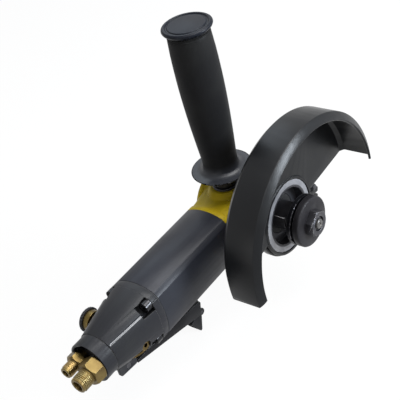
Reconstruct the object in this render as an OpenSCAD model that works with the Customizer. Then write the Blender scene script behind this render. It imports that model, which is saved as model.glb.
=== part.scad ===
// Pneumatic stone cutter: an angle head with an open wheel guard, an air motor in a
// squared housing, and a rear cover that holds the throttle, the water valve and the hoses.
// Origin at the centre of the blade seat. X runs out along the spindle, Y runs forward
// from the hose end to the head, and Z runs up along the side handle.

/* [Spindle and flanges] */
// Radius of both blade flanges
flange_r = 20.4; // [19:0.2:23]
// Thickness of the inner flange
inner_flange_t = 3.6; // [2.4:0.2:4]
// Thickness of the outer flange
outer_flange_t = 5.6; // [3:0.2:6]
// Length of the pilot that centres the blade
pilot_len = 1.8; // [1.4:0.2:2.6]
// Radius of the pilot, for a 22.23 mm blade bore
pilot_r = 11.11; // [10.9:0.01:11.2]
// Radius of the spindle neck
neck_r = 11.4; // [10.8:0.1:11.6]
// Width across the spanner flats on the neck
neck_flats = 18.4; // [17:0.2:20]
// Radius of the threaded spindle end
stub_r = 6; // [5:0.5:6.5]
// Width across the flats of the flange nut
nut_af = 19; // [18:1:22]
// Height of the flange nut
nut_h = 6.4; // [6:0.2:10]
// Radius of the water bore through the spindle
water_bore_r = 1.6; // [1.2:0.1:2]
// Radius of the water nozzle's tip
tip_r = 4; // [3.6:0.1:4.6]
// How far the nozzle stands out of the nut
tip_proud = 0.9; // [0.3:0.1:2]

/* [Head] */
// Distance from the blade seat back to the middle of the body
head_reach = 60; // [59:0.5:64]
// Distance from the middle of the body to the left end of the head
head_left_reach = 26.5; // [25.5:0.5:30]
// Outer radius of the gear case
case_r = 27; // [26.5:0.5:28]
// Outer radius of the gear case round the front bearing
case_front_r = 31; // [30:0.5:33]
// Thickness of the left cover outside the case
cover_t = 6; // [5.5:0.5:8]
// Radius of the gear chamber
chamber_r = 20.7; // [20.6:0.1:21.4]
// Height of the handle boss above the case
boss_height = 1; // [0.5:0.5:3]
// Radius of the handle boss at its top
boss_r = 13.5; // [12.5:0.5:15]
// Length of the squared lip that meets the motor housing
lip_len = 5.6; // [4:0.2:7]

/* [Nose] */
// Radius of the bearing retainer's nose
nose_r = 29.7; // [29:0.1:31]
// Radius of the recess in the nose
nose_recess_r = 22.9; // [21:0.1:24]
// Distance from the blade seat back to the face of the nose
nose_setback = 13.5; // [12.5:0.5:15]
// Length of the nose outside the head
nose_len = 9.5; // [9:0.5:11]
// Length of the retainer's thread in the head
nose_thread_len = 8.3; // [7:0.1:9]
// Radius of the retainer's thread
nose_thread_r = 25; // [24:0.5:26]

/* [Bevel gears] */
// Size of the teeth, as a module
tooth_module = 1.5; // [1.4:0.05:1.5]
// Teeth on the spindle gear
gear_teeth = 26; // [24:1:26]
// Teeth on the motor pinion
pinion_teeth = 13; // [12:1:14]
// Width of the gear face along the cone
face_w = 7; // [5:0.5:8]
// Play between the teeth at the pitch line
tooth_play = 0.3; // [0.2:0.05:0.5]

/* [Wheel guard] */
// Outer radius of the guard
guard_r = 86.8; // [82:0.2:92]
// Thickness of the guard's sheet
guard_t = 2; // [1.6:0.2:3]
// Distance from the guard's back face to its open edge
guard_depth = 31.7; // [28:0.1:36]
// Radius of the opening inside the rolled lip
guard_lip_r = 80.8; // [78:0.2:84]
// Width of the rolled lip along the spindle
guard_lip_w = 4; // [3:0.5:6]
// Size of the slope between the back plate and the rim
guard_slope = 4; // [3:0.5:6]
// Angle of the guard's rear end, from the top towards the hoses
guard_rear_angle = 98.6; // [92:0.2:104]
// Angle of the guard's front end, from the top towards the front
guard_front_angle = 85.6; // [82:0.1:90]
// Radius of the ring that joins the back plate to the collar
guard_ring_r = 32.2; // [32:0.1:33]
// Rounding of the guard's open corner at its rear end
guard_corner = 6; // [3:0.5:10]
// Play of the guard's collar on the nose
guard_play = 0.08; // [0.04:0.01:0.1]

/* [Body] */
// Half the width of the motor housing
half_w = 23; // [22.8:0.1:25]
// Half the height of the motor housing
half_h = 24.4; // [24:0.1:26]
// Radius of the crown on the top and bottom faces
top_arc_r = 36; // [34:1:40]
// Radius of the crown on the side faces
side_arc_r = 50; // [46:1:56]
// Distance from the middle to the rounded corners
corner_reach = 26.3; // [26:0.1:27]
// Where the head meets the motor housing, measured back from the spindle
front_seam = 43; // [42:0.5:46]
// Length of the motor housing
housing_len = 87; // [86:1:96]
// Radius of the bore that holds the motor
motor_bore_r = 18.05; // [18.05:0.01:18.1]
// Distance from the middle of the body to each long screw, both ways
screw_off = 15.7; // [15.5:0.1:16]
// Radius of the long screws
screw_r = 2.5; // [2:0.1:2.6]
// Radius of a long screw's head
screw_head_r = 4.25; // [4:0.05:4.4]
// Height of a long screw's head
screw_head_h = 5; // [4:0.5:6]

/* [Motor] */
// Radius of the rotor
rotor_r = 13.5; // [12.5:0.1:13.5]
// Radius of the cylinder's bore
cylinder_bore_r = 15; // [15:0.1:15.2]
// Distance between the axes of the bore and the rotor
eccentric = 1.4; // [1:0.1:1.4]
// Number of vanes
vane_count = 5; // [4:1:6]
// Thickness of a vane
vane_t = 3; // [2.4:0.2:3.4]
// Depth of a vane from its outer edge to its foot
vane_depth = 7; // [6:0.25:7]
// Thickness of the front end plate
front_plate_t = 6; // [4:0.5:7]
// Thickness of the rear end plate
rear_plate_t = 12; // [11:0.5:13]

/* [Rear cover] */
// Length of the rear cover from the gasket to the start of the sleeve
cover_taper_len = 48.5; // [47:0.5:52]
// Distance from the middle to the cover's corners where it meets the sleeve
cover_end_reach = 17.4; // [17.2:0.1:21]
// Length of the straight lip behind the gasket
cover_lip_len = 6; // [5:0.5:8]
// Radius of the cover where it meets the sleeve
cover_end_r = 16.8; // [16.8:0.1:19]
// Outer radius of the hose sleeve
sleeve_r = 16.7; // [16.2:0.1:17]
// Wall of the hose sleeve
sleeve_wall = 2; // [1.6:0.1:2.1]
// Length of the hose sleeve
sleeve_len = 11; // [10:0.5:14]
// Thickness of the gasket
gasket_t = 0.5; // [0.3:0.1:1]
// Sideways place of the inner wall of the channel behind each screw pocket
channel_in = 18; // [17.5:0.1:19]
// Height of the floor of that channel
channel_low = 14.6; // [14:0.1:15.5]
// Angle of the channel's wall to the body's length
channel_lean = 10.4; // [9:0.2:12]
// Angle of the channel's floor to the body's length
channel_rise = 5.4; // [4:0.2:7]

/* [Hose fittings] */
// Radius of the air inlet's thread
air_thread_r = 6.58; // [6.5:0.01:6.66]
// Length of the air inlet's thread
air_thread_len = 10.5; // [9:0.5:13]
// Width across the flats of the air inlet
air_af = 17; // [15:1:17]
// Sideways place of the air inlet
air_off = 7.8; // [7.6:0.1:8.2]
// Radius of the water inlet's thread
water_thread_r = 4.86; // [4.8:0.01:4.9]
// Length of the water inlet's thread
water_thread_len = 9; // [8:0.5:12]
// Length of the hexagon on the air inlet
air_hex_len = 10; // [8:0.5:12]
// Length of the hexagon on the water inlet
water_hex_len = 6.5; // [5:0.5:8]
// Width across the flats of the water inlet
water_af = 13; // [11:1:14]
// Sideways place of the water inlet
water_off = 8.4; // [8.2:0.1:8.8]
// Height of both inlets above the middle of the body
inlet_z = 1.5; // [0:0.5:3]

/* [Throttle] */
// Where the throttle valve stands, measured back from the spindle
valve_back = 152; // [150:0.5:153]
// Radius of the throttle valve body
valve_body_r = 7; // [6.5:0.1:7.4]
// Radius of the valve body's flange
valve_flange_r = 9.3; // [9:0.1:9.5]
// Depth of the flange's lower face below the middle of the body
valve_flange_low = 23; // [22.5:0.1:23.4]
// Radius of the valve stem
stem_r = 1.6; // [1.4:0.1:2]
// Play of sliding and turning fits
run_gap = 0.05; // [0.02:0.01:0.09]
// Distance from the throttle valve back to the lever's pivot
pivot_off = 13.4; // [12.4:0.2:16]
// Depth of the lever's pivot below the middle of the body
pivot_low = 23.1; // [22.5:0.1:24]
// Radius of the pivot pin
pivot_r = 2; // [1.6:0.1:2.2]
// Travel of the lever, in degrees
lever_travel = 6.5; // [5:0.5:7]
// Half the width of the lever
lever_half_w = 8; // [7.5:0.1:8.3]
// Thickness of the lever's sheet
lever_t = 1.8; // [1.4:0.1:2.4]
// Where the lever's front end lies, measured back from the spindle
lever_front = 80.8; // [79:0.2:82]
// Slope of the lever's underside, in degrees
lever_slope = 13.6; // [12.6:0.2:14.6]
// Depth of the lever's underside below the pivot
lever_drop = 4.2; // [4:0.1:5]

/* [Safety latch] */
// Where the latch's pivot lies, measured back from the spindle
latch_back = 82.2; // [81.6:0.1:83]
// Depth of the latch's pivot below the middle of the body
latch_low = 45.4; // [45:0.1:45.8]
// Radius of the latch pin
latch_pin_r = 1.2; // [1:0.1:1.5]
// Half the width of the latch
latch_half_w = 5.8; // [5.4:0.1:5.8]
// Length of the latch's finger tab below its pivot
latch_tab = 18; // [15:0.5:20]

/* [Water valve] */
// Where the water valve lies, measured back from the spindle
knob_back = 157; // [156:0.5:158]
// Radius of the brass drum of the knob
knob_r = 8.3; // [7.5:0.1:9]
// Radius of the black end of the knob
knob_cap_r = 9.6; // [9:0.1:10.5]
// Distance from the middle of the body to the knob's outer face
knob_reach = 32; // [32:0.5:35]
// Travel of the needle over the knob's turn
needle_travel = 1.5; // [1:0.1:1.8]
// Radius of the water tube
tube_r = 2; // [1.6:0.1:2]

/* [Side handle] */
// Where the handle stands, measured back from the spindle
handle_back = 11.7; // [10:0.1:13]
// Height of the hand flange's edge above the spindle axis
hand_flange_z = 45; // [44:0.5:48]
// Radius of the hand flange
hand_flange_r = 24; // [22:0.5:26]
// Radius of the grip at its foot
grip_foot_r = 13.7; // [13:0.1:15]
// Radius of the grip at its widest
grip_r = 17; // [16.5:0.1:18]
// Radius of the grip at its top
grip_top_r = 16; // [15:0.1:16.4]
// Height of the end cap's rim above the spindle axis
cap_top = 168.7; // [160:0.1:176]
// Radius of the end cap
cap_r = 18.9; // [18:0.1:20.5]
// Radius of the handle stud
stud_r = 5; // [4:0.5:5.5]
// Radius of the washer under the handle
washer_r = 10.5; // [10:0.5:12.5]
// Thickness of the washer
washer_t = 1.6; // [1.2:0.1:2.4]

/* [Hidden] */

$fn = 64;
over = 1;
press_gap = 0.03;
free_gap = 0.3;

paint_yellow = "goldenrod";
black_satin = "#2b2d31";
guard_black = "#303238";
black_oxide = "#1d1d20";
bare_steel = "#9a9a98";
brass = "#b8923f";
grip_black = "#262626";
cap_black = "#3a3f47";
seal_black = "#151515";

// Stations along the spindle
axis_x = -head_reach;
head_left = axis_x - head_left_reach;
case_left = head_left + cover_t;
nose_face = -nose_setback;
nose_back = nose_face - nose_len;
thread_back = nose_back - nose_thread_len;
front_bearing_w = 12;
front_bearing_back = thread_back - front_bearing_w;
front_bearing_in = 8.5;
front_bearing_out = 20;
rear_bearing_w = 8;
rear_bearing_in = 6;
rear_bearing_out = 14;
rear_bearing_left = head_left + 3;
rear_bearing_right = rear_bearing_left + rear_bearing_w;
seal_w = 7;
seal_r = 16;
gear_seat_r = 8;
shaft_r = 7;
spindle_left = rear_bearing_left + 2;
blade_out = pilot_len + outer_flange_t;
nut_out = blade_out + nut_h;
tip_out = nut_out + tip_proud;
stub_end = nut_out - 1.3;
nozzle_shank_r = 3;
nozzle_shank_len = 6;
case_lip_r = 17;
case_lip_w = 1.5;

// Bevel gear pair, both cones meeting where the two shafts' axes cross
pressure_angle = 25;
addendum = 0.93 * tooth_module;
dedendum = 1.17 * tooth_module;
gear_pitch_r = tooth_module * gear_teeth / 2;
pinion_pitch_r = tooth_module * pinion_teeth / 2;
cone_len = sqrt(gear_pitch_r * gear_pitch_r + pinion_pitch_r * pinion_pitch_r);
gear_body_back = pinion_pitch_r + dedendum + 2;
gear_hub_r = 12;
pinion_seat_r = 4;
pinion_hub_r = 8;
pinion_hub_back = gear_pitch_r + 7;

// Stations along the body
seam_y = -front_seam;
housing_back = seam_y - housing_len;
cover_front = housing_back - gasket_t;
taper_start = cover_front - cover_lip_len;
pocket_floor = taper_start - 0.5;
pocket_end = pocket_floor - 11;
sleeve_start = cover_front - cover_taper_len;
sleeve_end = sleeve_start - sleeve_len;
lip_front = seam_y + lip_len;
head_bearing_w = 8;
head_bearing_in = 6;
head_bearing_out = 14;
plate_play = 0.1;
rotor_front = seam_y - front_plate_t - plate_play;
rotor_len = housing_len - 27;
rotor_back = rotor_front - rotor_len + 2 * plate_play;
liner_back = rotor_front + plate_play - rotor_len;
rear_plate_back = liner_back - rear_plate_t;
rotor_bearing_w = 8;
rotor_bearing_in = 5;
rotor_bearing_out = 13;
rotor_bearing_front = rear_plate_back + rotor_bearing_w;
liner_r = motor_bore_r - run_gap;
screw_end = lip_front + 1;
spigot_in = 14.5;

// Rear cover's chambers and the water line
tube_off = 9.5;
tube_low = 19.3;
tube_end_y = pocket_end + 3;
bulkhead = sleeve_start - sleeve_len + 4;
air_seat = bulkhead + 9;
valve_y = -valve_back;
knob_y = -knob_back;
valve_top = 6;
valve_seat_z = -6;
plug_h = 4;
valve_bore_r = 4.6;
throat_r = 3;
pivot_y = valve_y - pivot_off;
pivot_z = -pivot_low;
stem_low = pivot_z - 4.7;
lug_front = pivot_y + 8.2;
lug_back = pivot_y - 9.2;
lug_low = pivot_z - 3.2;
lug_in = 5.3;
lug_out = 8.3;
tongue_half_w = lug_in - free_gap;
knob_z = 0;

// Safety latch
latch_y = -latch_back;
latch_z = -latch_low;

// Side handle
handle_y = -handle_back;
boss_top = case_r + boss_height;
washer_top = boss_top + washer_t;
flange_under = hand_flange_z - 3;
collar_r = washer_r - 1.9;
plug_len = 1.2 * stud_r;
stud_low = boss_top - 9;
cap_under = cap_top - 4.5;

module rod_x(x0, x1, r, y = 0, z = 0) {
    translate([x0, y, z]) rotate([0, 90, 0]) cylinder(h = x1 - x0, r = r);
}

module rod_y(y0, y1, r, x = 0, z = 0) {
    translate([x, y1, z]) rotate([90, 0, 0]) cylinder(h = y1 - y0, r = r);
}

module rod_z(z0, z1, r, x = 0, y = 0) {
    translate([x, y, z0]) cylinder(h = z1 - z0, r = r);
}

// Turned about the X axis, from points given as radius and place along X
module turned_x(points, y = 0, z = 0) {
    translate([0, y, z]) rotate([0, 90, 0]) rotate_extrude() polygon(points);
}

// Turned about a Z axis, from points given as radius and height
module turned_z(points, x = 0, y = 0) {
    translate([x, y, 0]) rotate_extrude() polygon(points);
}

module ring_x(x0, x1, r_out, r_in, y = 0, z = 0) {
    difference() {
        rod_x(x0, x1, r_out, y, z);
        rod_x(x0 - over, x1 + over, r_in, y, z);
    }
}

module ring_y(y0, y1, r_out, r_in, x = 0, z = 0) {
    difference() {
        rod_y(y0, y1, r_out, x, z);
        rod_y(y0 - over, y1 + over, r_in, x, z);
    }
}

module hex_x(x0, x1, af, y = 0, z = 0) {
    translate([x0, y, z]) rotate([0, 90, 0]) cylinder(h = x1 - x0, r = af / sqrt(3), $fn = 6);
}

// Hexagon whose corners are turned down at both ends
module hex_turned_y(y0, y1, af) {
    corner = af / sqrt(3);
    intersection() {
        hex_y(y0, y1, af);
        rotate([-90, 0, 0]) turned_z([
            [0, y0], [af / 2 - 0.2, y0], [corner, y0 + 1.2], [corner, y1 - 1.2],
            [af / 2 - 0.2, y1], [0, y1]
        ]);
    }
}

module hex_y(y0, y1, af, x = 0, z = 0) {
    translate([x, y1, z]) rotate([90, 30, 0]) cylinder(h = y1 - y0, r = af / sqrt(3), $fn = 6);
}

// Crowned square with rounded corners, the section of the motor housing
module body_outline(w, h, reach) {
    intersection() {
        translate([0, h - top_arc_r]) circle(r = top_arc_r, $fn = 128);
        translate([0, top_arc_r - h]) circle(r = top_arc_r, $fn = 128);
        translate([w - side_arc_r, 0]) circle(r = side_arc_r, $fn = 128);
        translate([side_arc_r - w, 0]) circle(r = side_arc_r, $fn = 128);
        circle(r = reach, $fn = 96);
    }
}

module body_slab(y0, y1, shrink = 0) {
    translate([axis_x, y1, 0]) rotate([90, 0, 0])
        linear_extrude(height = y1 - y0)
            body_outline(half_w - shrink, half_h - shrink, corner_reach - shrink);
}

// Deep groove ball bearing on the Z axis, from z = 0 up to its width
module ball_bearing(r_in, r_out, w, balls) {
    mid_r = (r_in + r_out) / 2;
    ball_r = (r_out - r_in) * 0.29;
    race_t = (r_out - r_in) * 0.26;
    difference() {
        union() {
            difference() {
                cylinder(h = w, r = r_out);
                translate([0, 0, -over]) cylinder(h = w + 2 * over, r = r_out - race_t);
            }
            difference() {
                cylinder(h = w, r = r_in + race_t);
                translate([0, 0, -over]) cylinder(h = w + 2 * over, r = r_in);
            }
        }
        translate([0, 0, w / 2]) rotate_extrude() translate([mid_r, 0])
            circle(r = ball_r + run_gap);
    }
    for (i = [0 : balls - 1])
        rotate([0, 0, i * 360 / balls]) translate([mid_r, 0, w / 2]) sphere(r = ball_r, $fn = 32);
}

// Points of a bevel gear's teeth. A tooth's flank follows the involute of the equal spur
// gear on the back cone, carried to a flat plane at the given distance from the apex.
function involute(a) = tan(a) - a * PI / 180;
function flank_turn(n, mate, h) =
    let (cone = atan(n / mate),
         pitch = tooth_module * n / 2,
         spur_pitch = pitch / cos(cone),
         base = spur_pitch * cos(pressure_angle),
         r = max(spur_pitch + h, base),
         turn = 90 * cos(cone) / n * PI / 180
                + involute(pressure_angle) - involute(acos(base / r)))
    (turn * (spur_pitch + h) - tooth_play / 4) / (pitch + h * cos(cone)) * 180 / PI;
function flank_r(n, mate, h, plane) = plane * tan(atan(n / mate) + atan(h / cone_len));
function tooth_heights() = [-dedendum, -dedendum / 2, 0, addendum / 2, addendum];
function around(r, a) = [r * cos(a), r * sin(a)];
function teeth_points(n, mate, plane, start) = [
    for (i = [0 : n - 1]) each concat(
        [for (h = tooth_heights())
            around(flank_r(n, mate, h, plane), start + i * 360 / n - flank_turn(n, mate, h))],
        [for (k = [4 : -1 : 0]) let (h = tooth_heights()[k])
            around(flank_r(n, mate, h, plane), start + i * 360 / n + flank_turn(n, mate, h))])
];

// A point of the gear's blank, as radius and depth below the apex
function cone_point(n, mate, c, h) =
    let (cone = atan(n / mate), s = h * c / cone_len)
    [c * sin(cone) + s * cos(cone), -(c * cos(cone) - s * sin(cone))];

// Bevel teeth below an apex at the origin, on the Z axis
module bevel_teeth(n, mate, start) {
    small = cone_len - face_w;
    root = -dedendum - 0.6;
    plane = -cone_point(n, mate, cone_len, root)[1] + 0.5;
    top = -cone_point(n, mate, small, addendum)[1] - 0.5;
    intersection() {
        translate([0, 0, -plane]) linear_extrude(height = plane - top, scale = top / plane)
            polygon(teeth_points(n, mate, plane, start));
        rotate_extrude() polygon([
            cone_point(n, mate, small, addendum + 0.3),
            cone_point(n, mate, small, root),
            cone_point(n, mate, cone_len, root),
            cone_point(n, mate, cone_len, addendum + 0.3)
        ]);
    }
}

// Points of a round wire wound about the Z axis, with a straight tail at each end
wire_sides = 6;
rings_per_turn = 8;
function coil_centre(r, rise, turns, wire, k) =
    let (last = turns * rings_per_turn,
         i = min(max(k, 0), last),
         a = i * 360 / rings_per_turn,
         tail = k < 0 ? -2 * wire : (k > last ? 2 * wire : 0))
    [r * cos(a) - tail * sin(a), r * sin(a) + tail * cos(a), rise * i / last];
function coil_ring(c, a, wire) = [
    for (s = [0 : wire_sides - 1]) let (b = s * 360 / wire_sides)
        [c[0] + wire * cos(b) * cos(a), c[1] + wire * cos(b) * sin(a), c[2] + wire * sin(b)]
];
function turns_apart(p, q) = norm(p - q);

module coil(r, rise, turns, wire) {
    last = turns * rings_per_turn;
    centres = [for (k = [-1 : last + 1]) coil_centre(r, rise, turns, wire, k)];
    points = [for (k = [-1 : last + 1]) each
        coil_ring(centres[k + 1], min(max(k, 0), last) * 360 / rings_per_turn, wire)];
    count = last + 3;
    sides = [for (k = [0 : count - 2]) for (s = [0 : wire_sides - 1]) each [
        [k * wire_sides + s, k * wire_sides + (s + 1) % wire_sides,
         (k + 1) * wire_sides + (s + 1) % wire_sides],
        [k * wire_sides + s, (k + 1) * wire_sides + (s + 1) % wire_sides,
         (k + 1) * wire_sides + s]]];
    first_end = [for (s = [1 : wire_sides - 2]) [0, s + 1, s]];
    base = (count - 1) * wire_sides;
    last_end = [for (s = [1 : wire_sides - 2]) [base, base + s, base + s + 1]];
    gap = min([for (i = [0 : count - 1]) for (j = [i + 5 : 1 : count - 1])
        turns_apart(centres[i], centres[j])]) - 2 * wire;
    echo("least gap between the spring's turns", gap);
    polyhedron(points = points, faces = concat(sides, first_end, last_end), convexity = 10);
}

// Gear case. The chamber runs through from the left, and the pinion enters from behind.
module gear_head() {
    color(paint_yellow) difference() {
        union() {
            turned_x([
                [0, case_left], [case_r, case_left], [case_r, front_bearing_back - 6],
                [case_front_r, front_bearing_back], [case_front_r, nose_back - 1.5],
                [case_front_r - 1.5, nose_back], [0, nose_back]
            ]);
            turned_z([
                [0, 0], [20.2, 0], [20.2, 14], [boss_r + 1.5, boss_top - 3],
                [boss_r, boss_top - 1], [boss_r - 1, boss_top], [0, boss_top]
            ], axis_x, handle_y);
            hull() {
                body_slab(lip_front - 1, lip_front, 1.2);
                rod_x(axis_x - 19, axis_x + 20, case_r - 3.5);
            }
            body_slab(seam_y, lip_front);
        }
        rod_x(axis_x - half_w - over, case_left, case_r + 0.4);
        rod_x(case_left - over, front_bearing_back - case_lip_w, chamber_r);
        rod_x(front_bearing_back - case_lip_w - over, front_bearing_back + over, case_lip_r);
        rod_x(front_bearing_back, thread_back + over, front_bearing_out + press_gap);
        rod_x(thread_back, nose_back + over, nose_thread_r + press_gap);
        rod_y(seam_y - over, seam_y + head_bearing_w, head_bearing_out + press_gap, axis_x);
        rod_y(seam_y - over, -pinion_hub_r, head_bearing_out - 1.8, axis_x);
        rod_z(stud_low - 1, boss_top + over, stud_r + press_gap, axis_x, handle_y);
        for (sx = [-1, 1]) for (sz = [-1, 1])
            rod_y(seam_y - over, screw_end + 0.5, screw_r + press_gap,
                axis_x + sx * screw_off, sz * screw_off);
        rod_y(seam_y - over, water_turn_y + tube_bore_r, tube_bore_r, axis_x - tube_off, -tube_low);
        rod_y(seam_y - over, seam_y + 5, tube_r + press_gap, axis_x - tube_off, -tube_low);
        rod_x(case_left - over, axis_x - tube_off + tube_bore_r, tube_bore_r, water_turn_y, -tube_low);
        for (a = head_screw_angles)
            rotate([a, 0, 0])
                rod_x(case_left - over, case_left + head_screw_grip + 0.5,
                    head_screw_r + press_gap, 0, head_screw_pcr);
    }
}

// Where the water line turns from the body towards the left cover
tube_bore_r = 1.3;
water_turn_y = -sqrt(pow((chamber_r + case_r) / 2, 2) - tube_low * tube_low);
head_screw_angles = [0, 90, 180, 270];
case_wall = case_r - chamber_r;
head_screw_r = case_wall / 5.04;
head_screw_head_r = case_wall / 2.8;
head_screw_pcr = chamber_r + case_wall / 2 - 0.95;
head_screw_grip = 7.5;

// Left cover, which holds the rear bearing and brings the water to the spindle
module head_cover() {
    line_angle = atan2(water_turn_y, tube_low);
    color(paint_yellow) difference() {
        union() {
            turned_x([
                [0, head_left], [case_r - 4, head_left], [case_r - 2, head_left + 0.6],
                [case_r - 0.6, head_left + 2], [case_r, head_left + 4], [case_r, case_left],
                [0, case_left]
            ]);
            rod_x(case_left - over, rear_bearing_right, chamber_r - run_gap);
        }
        rod_x(rear_bearing_left, rear_bearing_right + over, rear_bearing_out + press_gap);
        rod_x(head_left + 1.2, rear_bearing_left + over, 0.9);
        rod_x(head_left + 1.2, case_left + over, tube_bore_r, water_turn_y, -tube_low);
        rotate([180 - line_angle, 0, 0])
            rod_z(0, norm([water_turn_y, tube_low]), 0.8, head_left + 2, 0);
        for (a = head_screw_angles)
            rotate([a, 0, 0]) {
                rod_x(head_left - over, case_left + over, head_screw_r + 0.15, 0, head_screw_pcr);
                rod_x(head_left - over, head_left + 3, head_screw_head_r + 0.15, 0, head_screw_pcr);
            }
        ring_x(case_left + 1.2, case_left + 2.8, chamber_r + over, chamber_r - 1.2);
    }
}

module head_cover_seal() {
    color(seal_black) translate([case_left + 2, 0, 0]) rotate([0, 90, 0])
        rotate_extrude() translate([chamber_r - 0.62, 0]) circle(r = 0.55);
}

module head_cover_screws() {
    color(bare_steel) for (a = head_screw_angles)
        rotate([a, 0, 0]) difference() {
            union() {
                rod_x(head_left + 3, case_left + head_screw_grip, head_screw_r, 0, head_screw_pcr);
                rod_x(head_left + 0.6, head_left + 3, head_screw_head_r, 0, head_screw_pcr);
            }
            hex_x(head_left - over, head_left + 2, 2, 0, head_screw_pcr);
        }
}

// Nose and bearing retainer, one turned piece screwed into the head
module bearing_retainer() {
    color(bare_steel) turned_x([
        [front_bearing_out - 4, thread_back], [nose_thread_r, thread_back],
        [nose_thread_r, nose_back], [nose_r, nose_back],
        [nose_r, nose_face - 0.4], [nose_r - 0.4, nose_face],
        [nose_recess_r + 0.3, nose_face], [nose_recess_r, nose_face - 0.3],
        [nose_recess_r, nose_face - 8], [seal_r + press_gap, nose_face - 8],
        [seal_r + press_gap, nose_face - 8 - seal_w],
        [front_bearing_out - 4, nose_face - 8 - seal_w]
    ]);
}

// Lip seal round the spindle neck
module spindle_seal() {
    seal_front = nose_face - 8;
    color(seal_black) turned_x([
        [neck_r + run_gap, seal_front - 0.6], [seal_r - 1, seal_front],
        [seal_r, seal_front - 0.6], [seal_r, seal_front - seal_w],
        [neck_r + 2.5, seal_front - seal_w], [neck_r + 2.5, seal_front - 3],
        [neck_r + run_gap, seal_front - 2.2]
    ]);
}

module front_spindle_bearing() {
    color(bare_steel) translate([front_bearing_back, 0, 0]) rotate([0, 90, 0])
        ball_bearing(front_bearing_in, front_bearing_out, front_bearing_w, 8);
}

module rear_spindle_bearing() {
    color(bare_steel) translate([rear_bearing_left, 0, 0]) rotate([0, 90, 0])
        ball_bearing(rear_bearing_in, rear_bearing_out, rear_bearing_w, 8);
}

// Fixed tube that feeds water into the turning spindle
module water_injector() {
    color(brass) difference() {
        union() {
            rod_x(rear_bearing_left, rear_bearing_left + 1, 5.4);
            rod_x(rear_bearing_left, spindle_left + 12, water_bore_r - 0.2);
        }
        rod_x(rear_bearing_left - over, spindle_left + 13, 0.8);
    }
}

module injector_seal() {
    color(seal_black) ring_x(spindle_left, spindle_left + 2, 3.2, water_bore_r - 0.2 + run_gap);
}

// Hollow spindle with two spanner flats on its neck
module spindle() {
    color(black_oxide) difference() {
        turned_x([
            [water_bore_r, spindle_left], [rear_bearing_in - 0.5 - run_gap, spindle_left],
            [rear_bearing_in - run_gap, spindle_left + 0.5],
            [rear_bearing_in - run_gap, rear_bearing_right],
            [shaft_r, rear_bearing_right], [shaft_r, axis_x + 5],
            [gear_seat_r, axis_x + 5], [gear_seat_r, front_bearing_back],
            [front_bearing_in - run_gap, front_bearing_back],
            [front_bearing_in - run_gap, thread_back],
            [neck_r, thread_back], [neck_r, -inner_flange_t - 0.8],
            [neck_r - 0.8, -inner_flange_t], [stub_r, -inner_flange_t],
            [stub_r, stub_end - 0.8], [stub_r - 0.8, stub_end],
            [nozzle_shank_r + press_gap, stub_end],
            [nozzle_shank_r + press_gap, stub_end - nozzle_shank_len],
            [water_bore_r, stub_end - nozzle_shank_len]
        ]);
        for (s = [-1, 1])
            translate([-inner_flange_t - 3.5, s * (neck_flats / 2 + 5), 0])
                cube([7, 10, 2 * neck_r + 2], center = true);
        rod_x(spindle_left - over, spindle_left + 2 + run_gap, 3.2 + run_gap);
        ring_x(circlip_x, circlip_x + 1.1, gear_seat_r + over, gear_seat_r - 0.8);
        translate([key_x0, -key_w / 2, gear_seat_r - key_w / 2])
            cube([key_len, key_w, key_w]);
    }
}

key_w = 4;
key_len = 6;
key_x0 = axis_x + gear_body_back - 4.5;
gear_front = -cone_point(gear_teeth, pinion_teeth, cone_len - face_w + 0.5, -dedendum - 1)[1];
circlip_x = axis_x + gear_front - 1.1;

module bevel_gear() {
    small = cone_len - face_w + 0.5;
    face = cone_point(gear_teeth, pinion_teeth, small, -dedendum - 1);
    inner = cone_point(gear_teeth, pinion_teeth, small, -dedendum - 0.3);
    outer = cone_point(gear_teeth, pinion_teeth, cone_len - 0.5, -dedendum - 0.3);
    hub_back = -(front_bearing_back - axis_x);
    color(bare_steel) translate([axis_x, 0, 0]) rotate([0, -90, 0]) difference() {
        union() {
            bevel_teeth(gear_teeth, pinion_teeth, -90);
            rotate_extrude() polygon([
                [gear_seat_r, -gear_front], face, inner, outer,
                [outer[0] - 0.8, -gear_body_back], [gear_hub_r, -gear_body_back],
                [gear_hub_r, hub_back], [gear_seat_r, hub_back]
            ]);
        }
        translate([0, 0, hub_back - over]) cylinder(h = 40, r = gear_seat_r + press_gap);
        translate([gear_seat_r - key_w / 2, -key_w / 2 - press_gap, hub_back - over])
            cube([key_w + press_gap, key_w + 2 * press_gap, key_slot_len]);
    }
}

key_slot_len = front_bearing_back - key_x0 + over;

module gear_key() {
    color(bare_steel)
        translate([key_x0 + press_gap, -key_w / 2 + press_gap, gear_seat_r - key_w / 2 + press_gap])
            cube([key_len - 2 * press_gap, key_w - 2 * press_gap, key_w - 2 * press_gap]);
}

module gear_circlip() {
    color(black_oxide) difference() {
        ring_x(circlip_x + press_gap, circlip_x + 1.1 - press_gap, gear_seat_r + 2,
            gear_seat_r - 0.8 + press_gap);
        translate([circlip_x - over, -2, -gear_seat_r - 4]) cube([4, 4, 8]);
    }
}

module inner_flange() {
    color(black_oxide) turned_x([
        [stub_r + press_gap, -inner_flange_t], [flange_r - 0.6, -inner_flange_t],
        [flange_r, -inner_flange_t + 0.6], [flange_r, -0.3], [flange_r - 0.3, 0],
        [pilot_r, 0], [pilot_r, pilot_len], [stub_r + press_gap, pilot_len]
    ]);
}

module outer_flange() {
    color(black_oxide) turned_x([
        [stub_r + press_gap, pilot_len], [flange_r - 0.3, pilot_len],
        [flange_r, pilot_len + 0.3], [flange_r, blade_out - 1.4],
        [flange_r - 0.4, blade_out - 0.4], [flange_r - 1.4, blade_out],
        [stub_r + press_gap, blade_out]
    ]);
}

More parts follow.
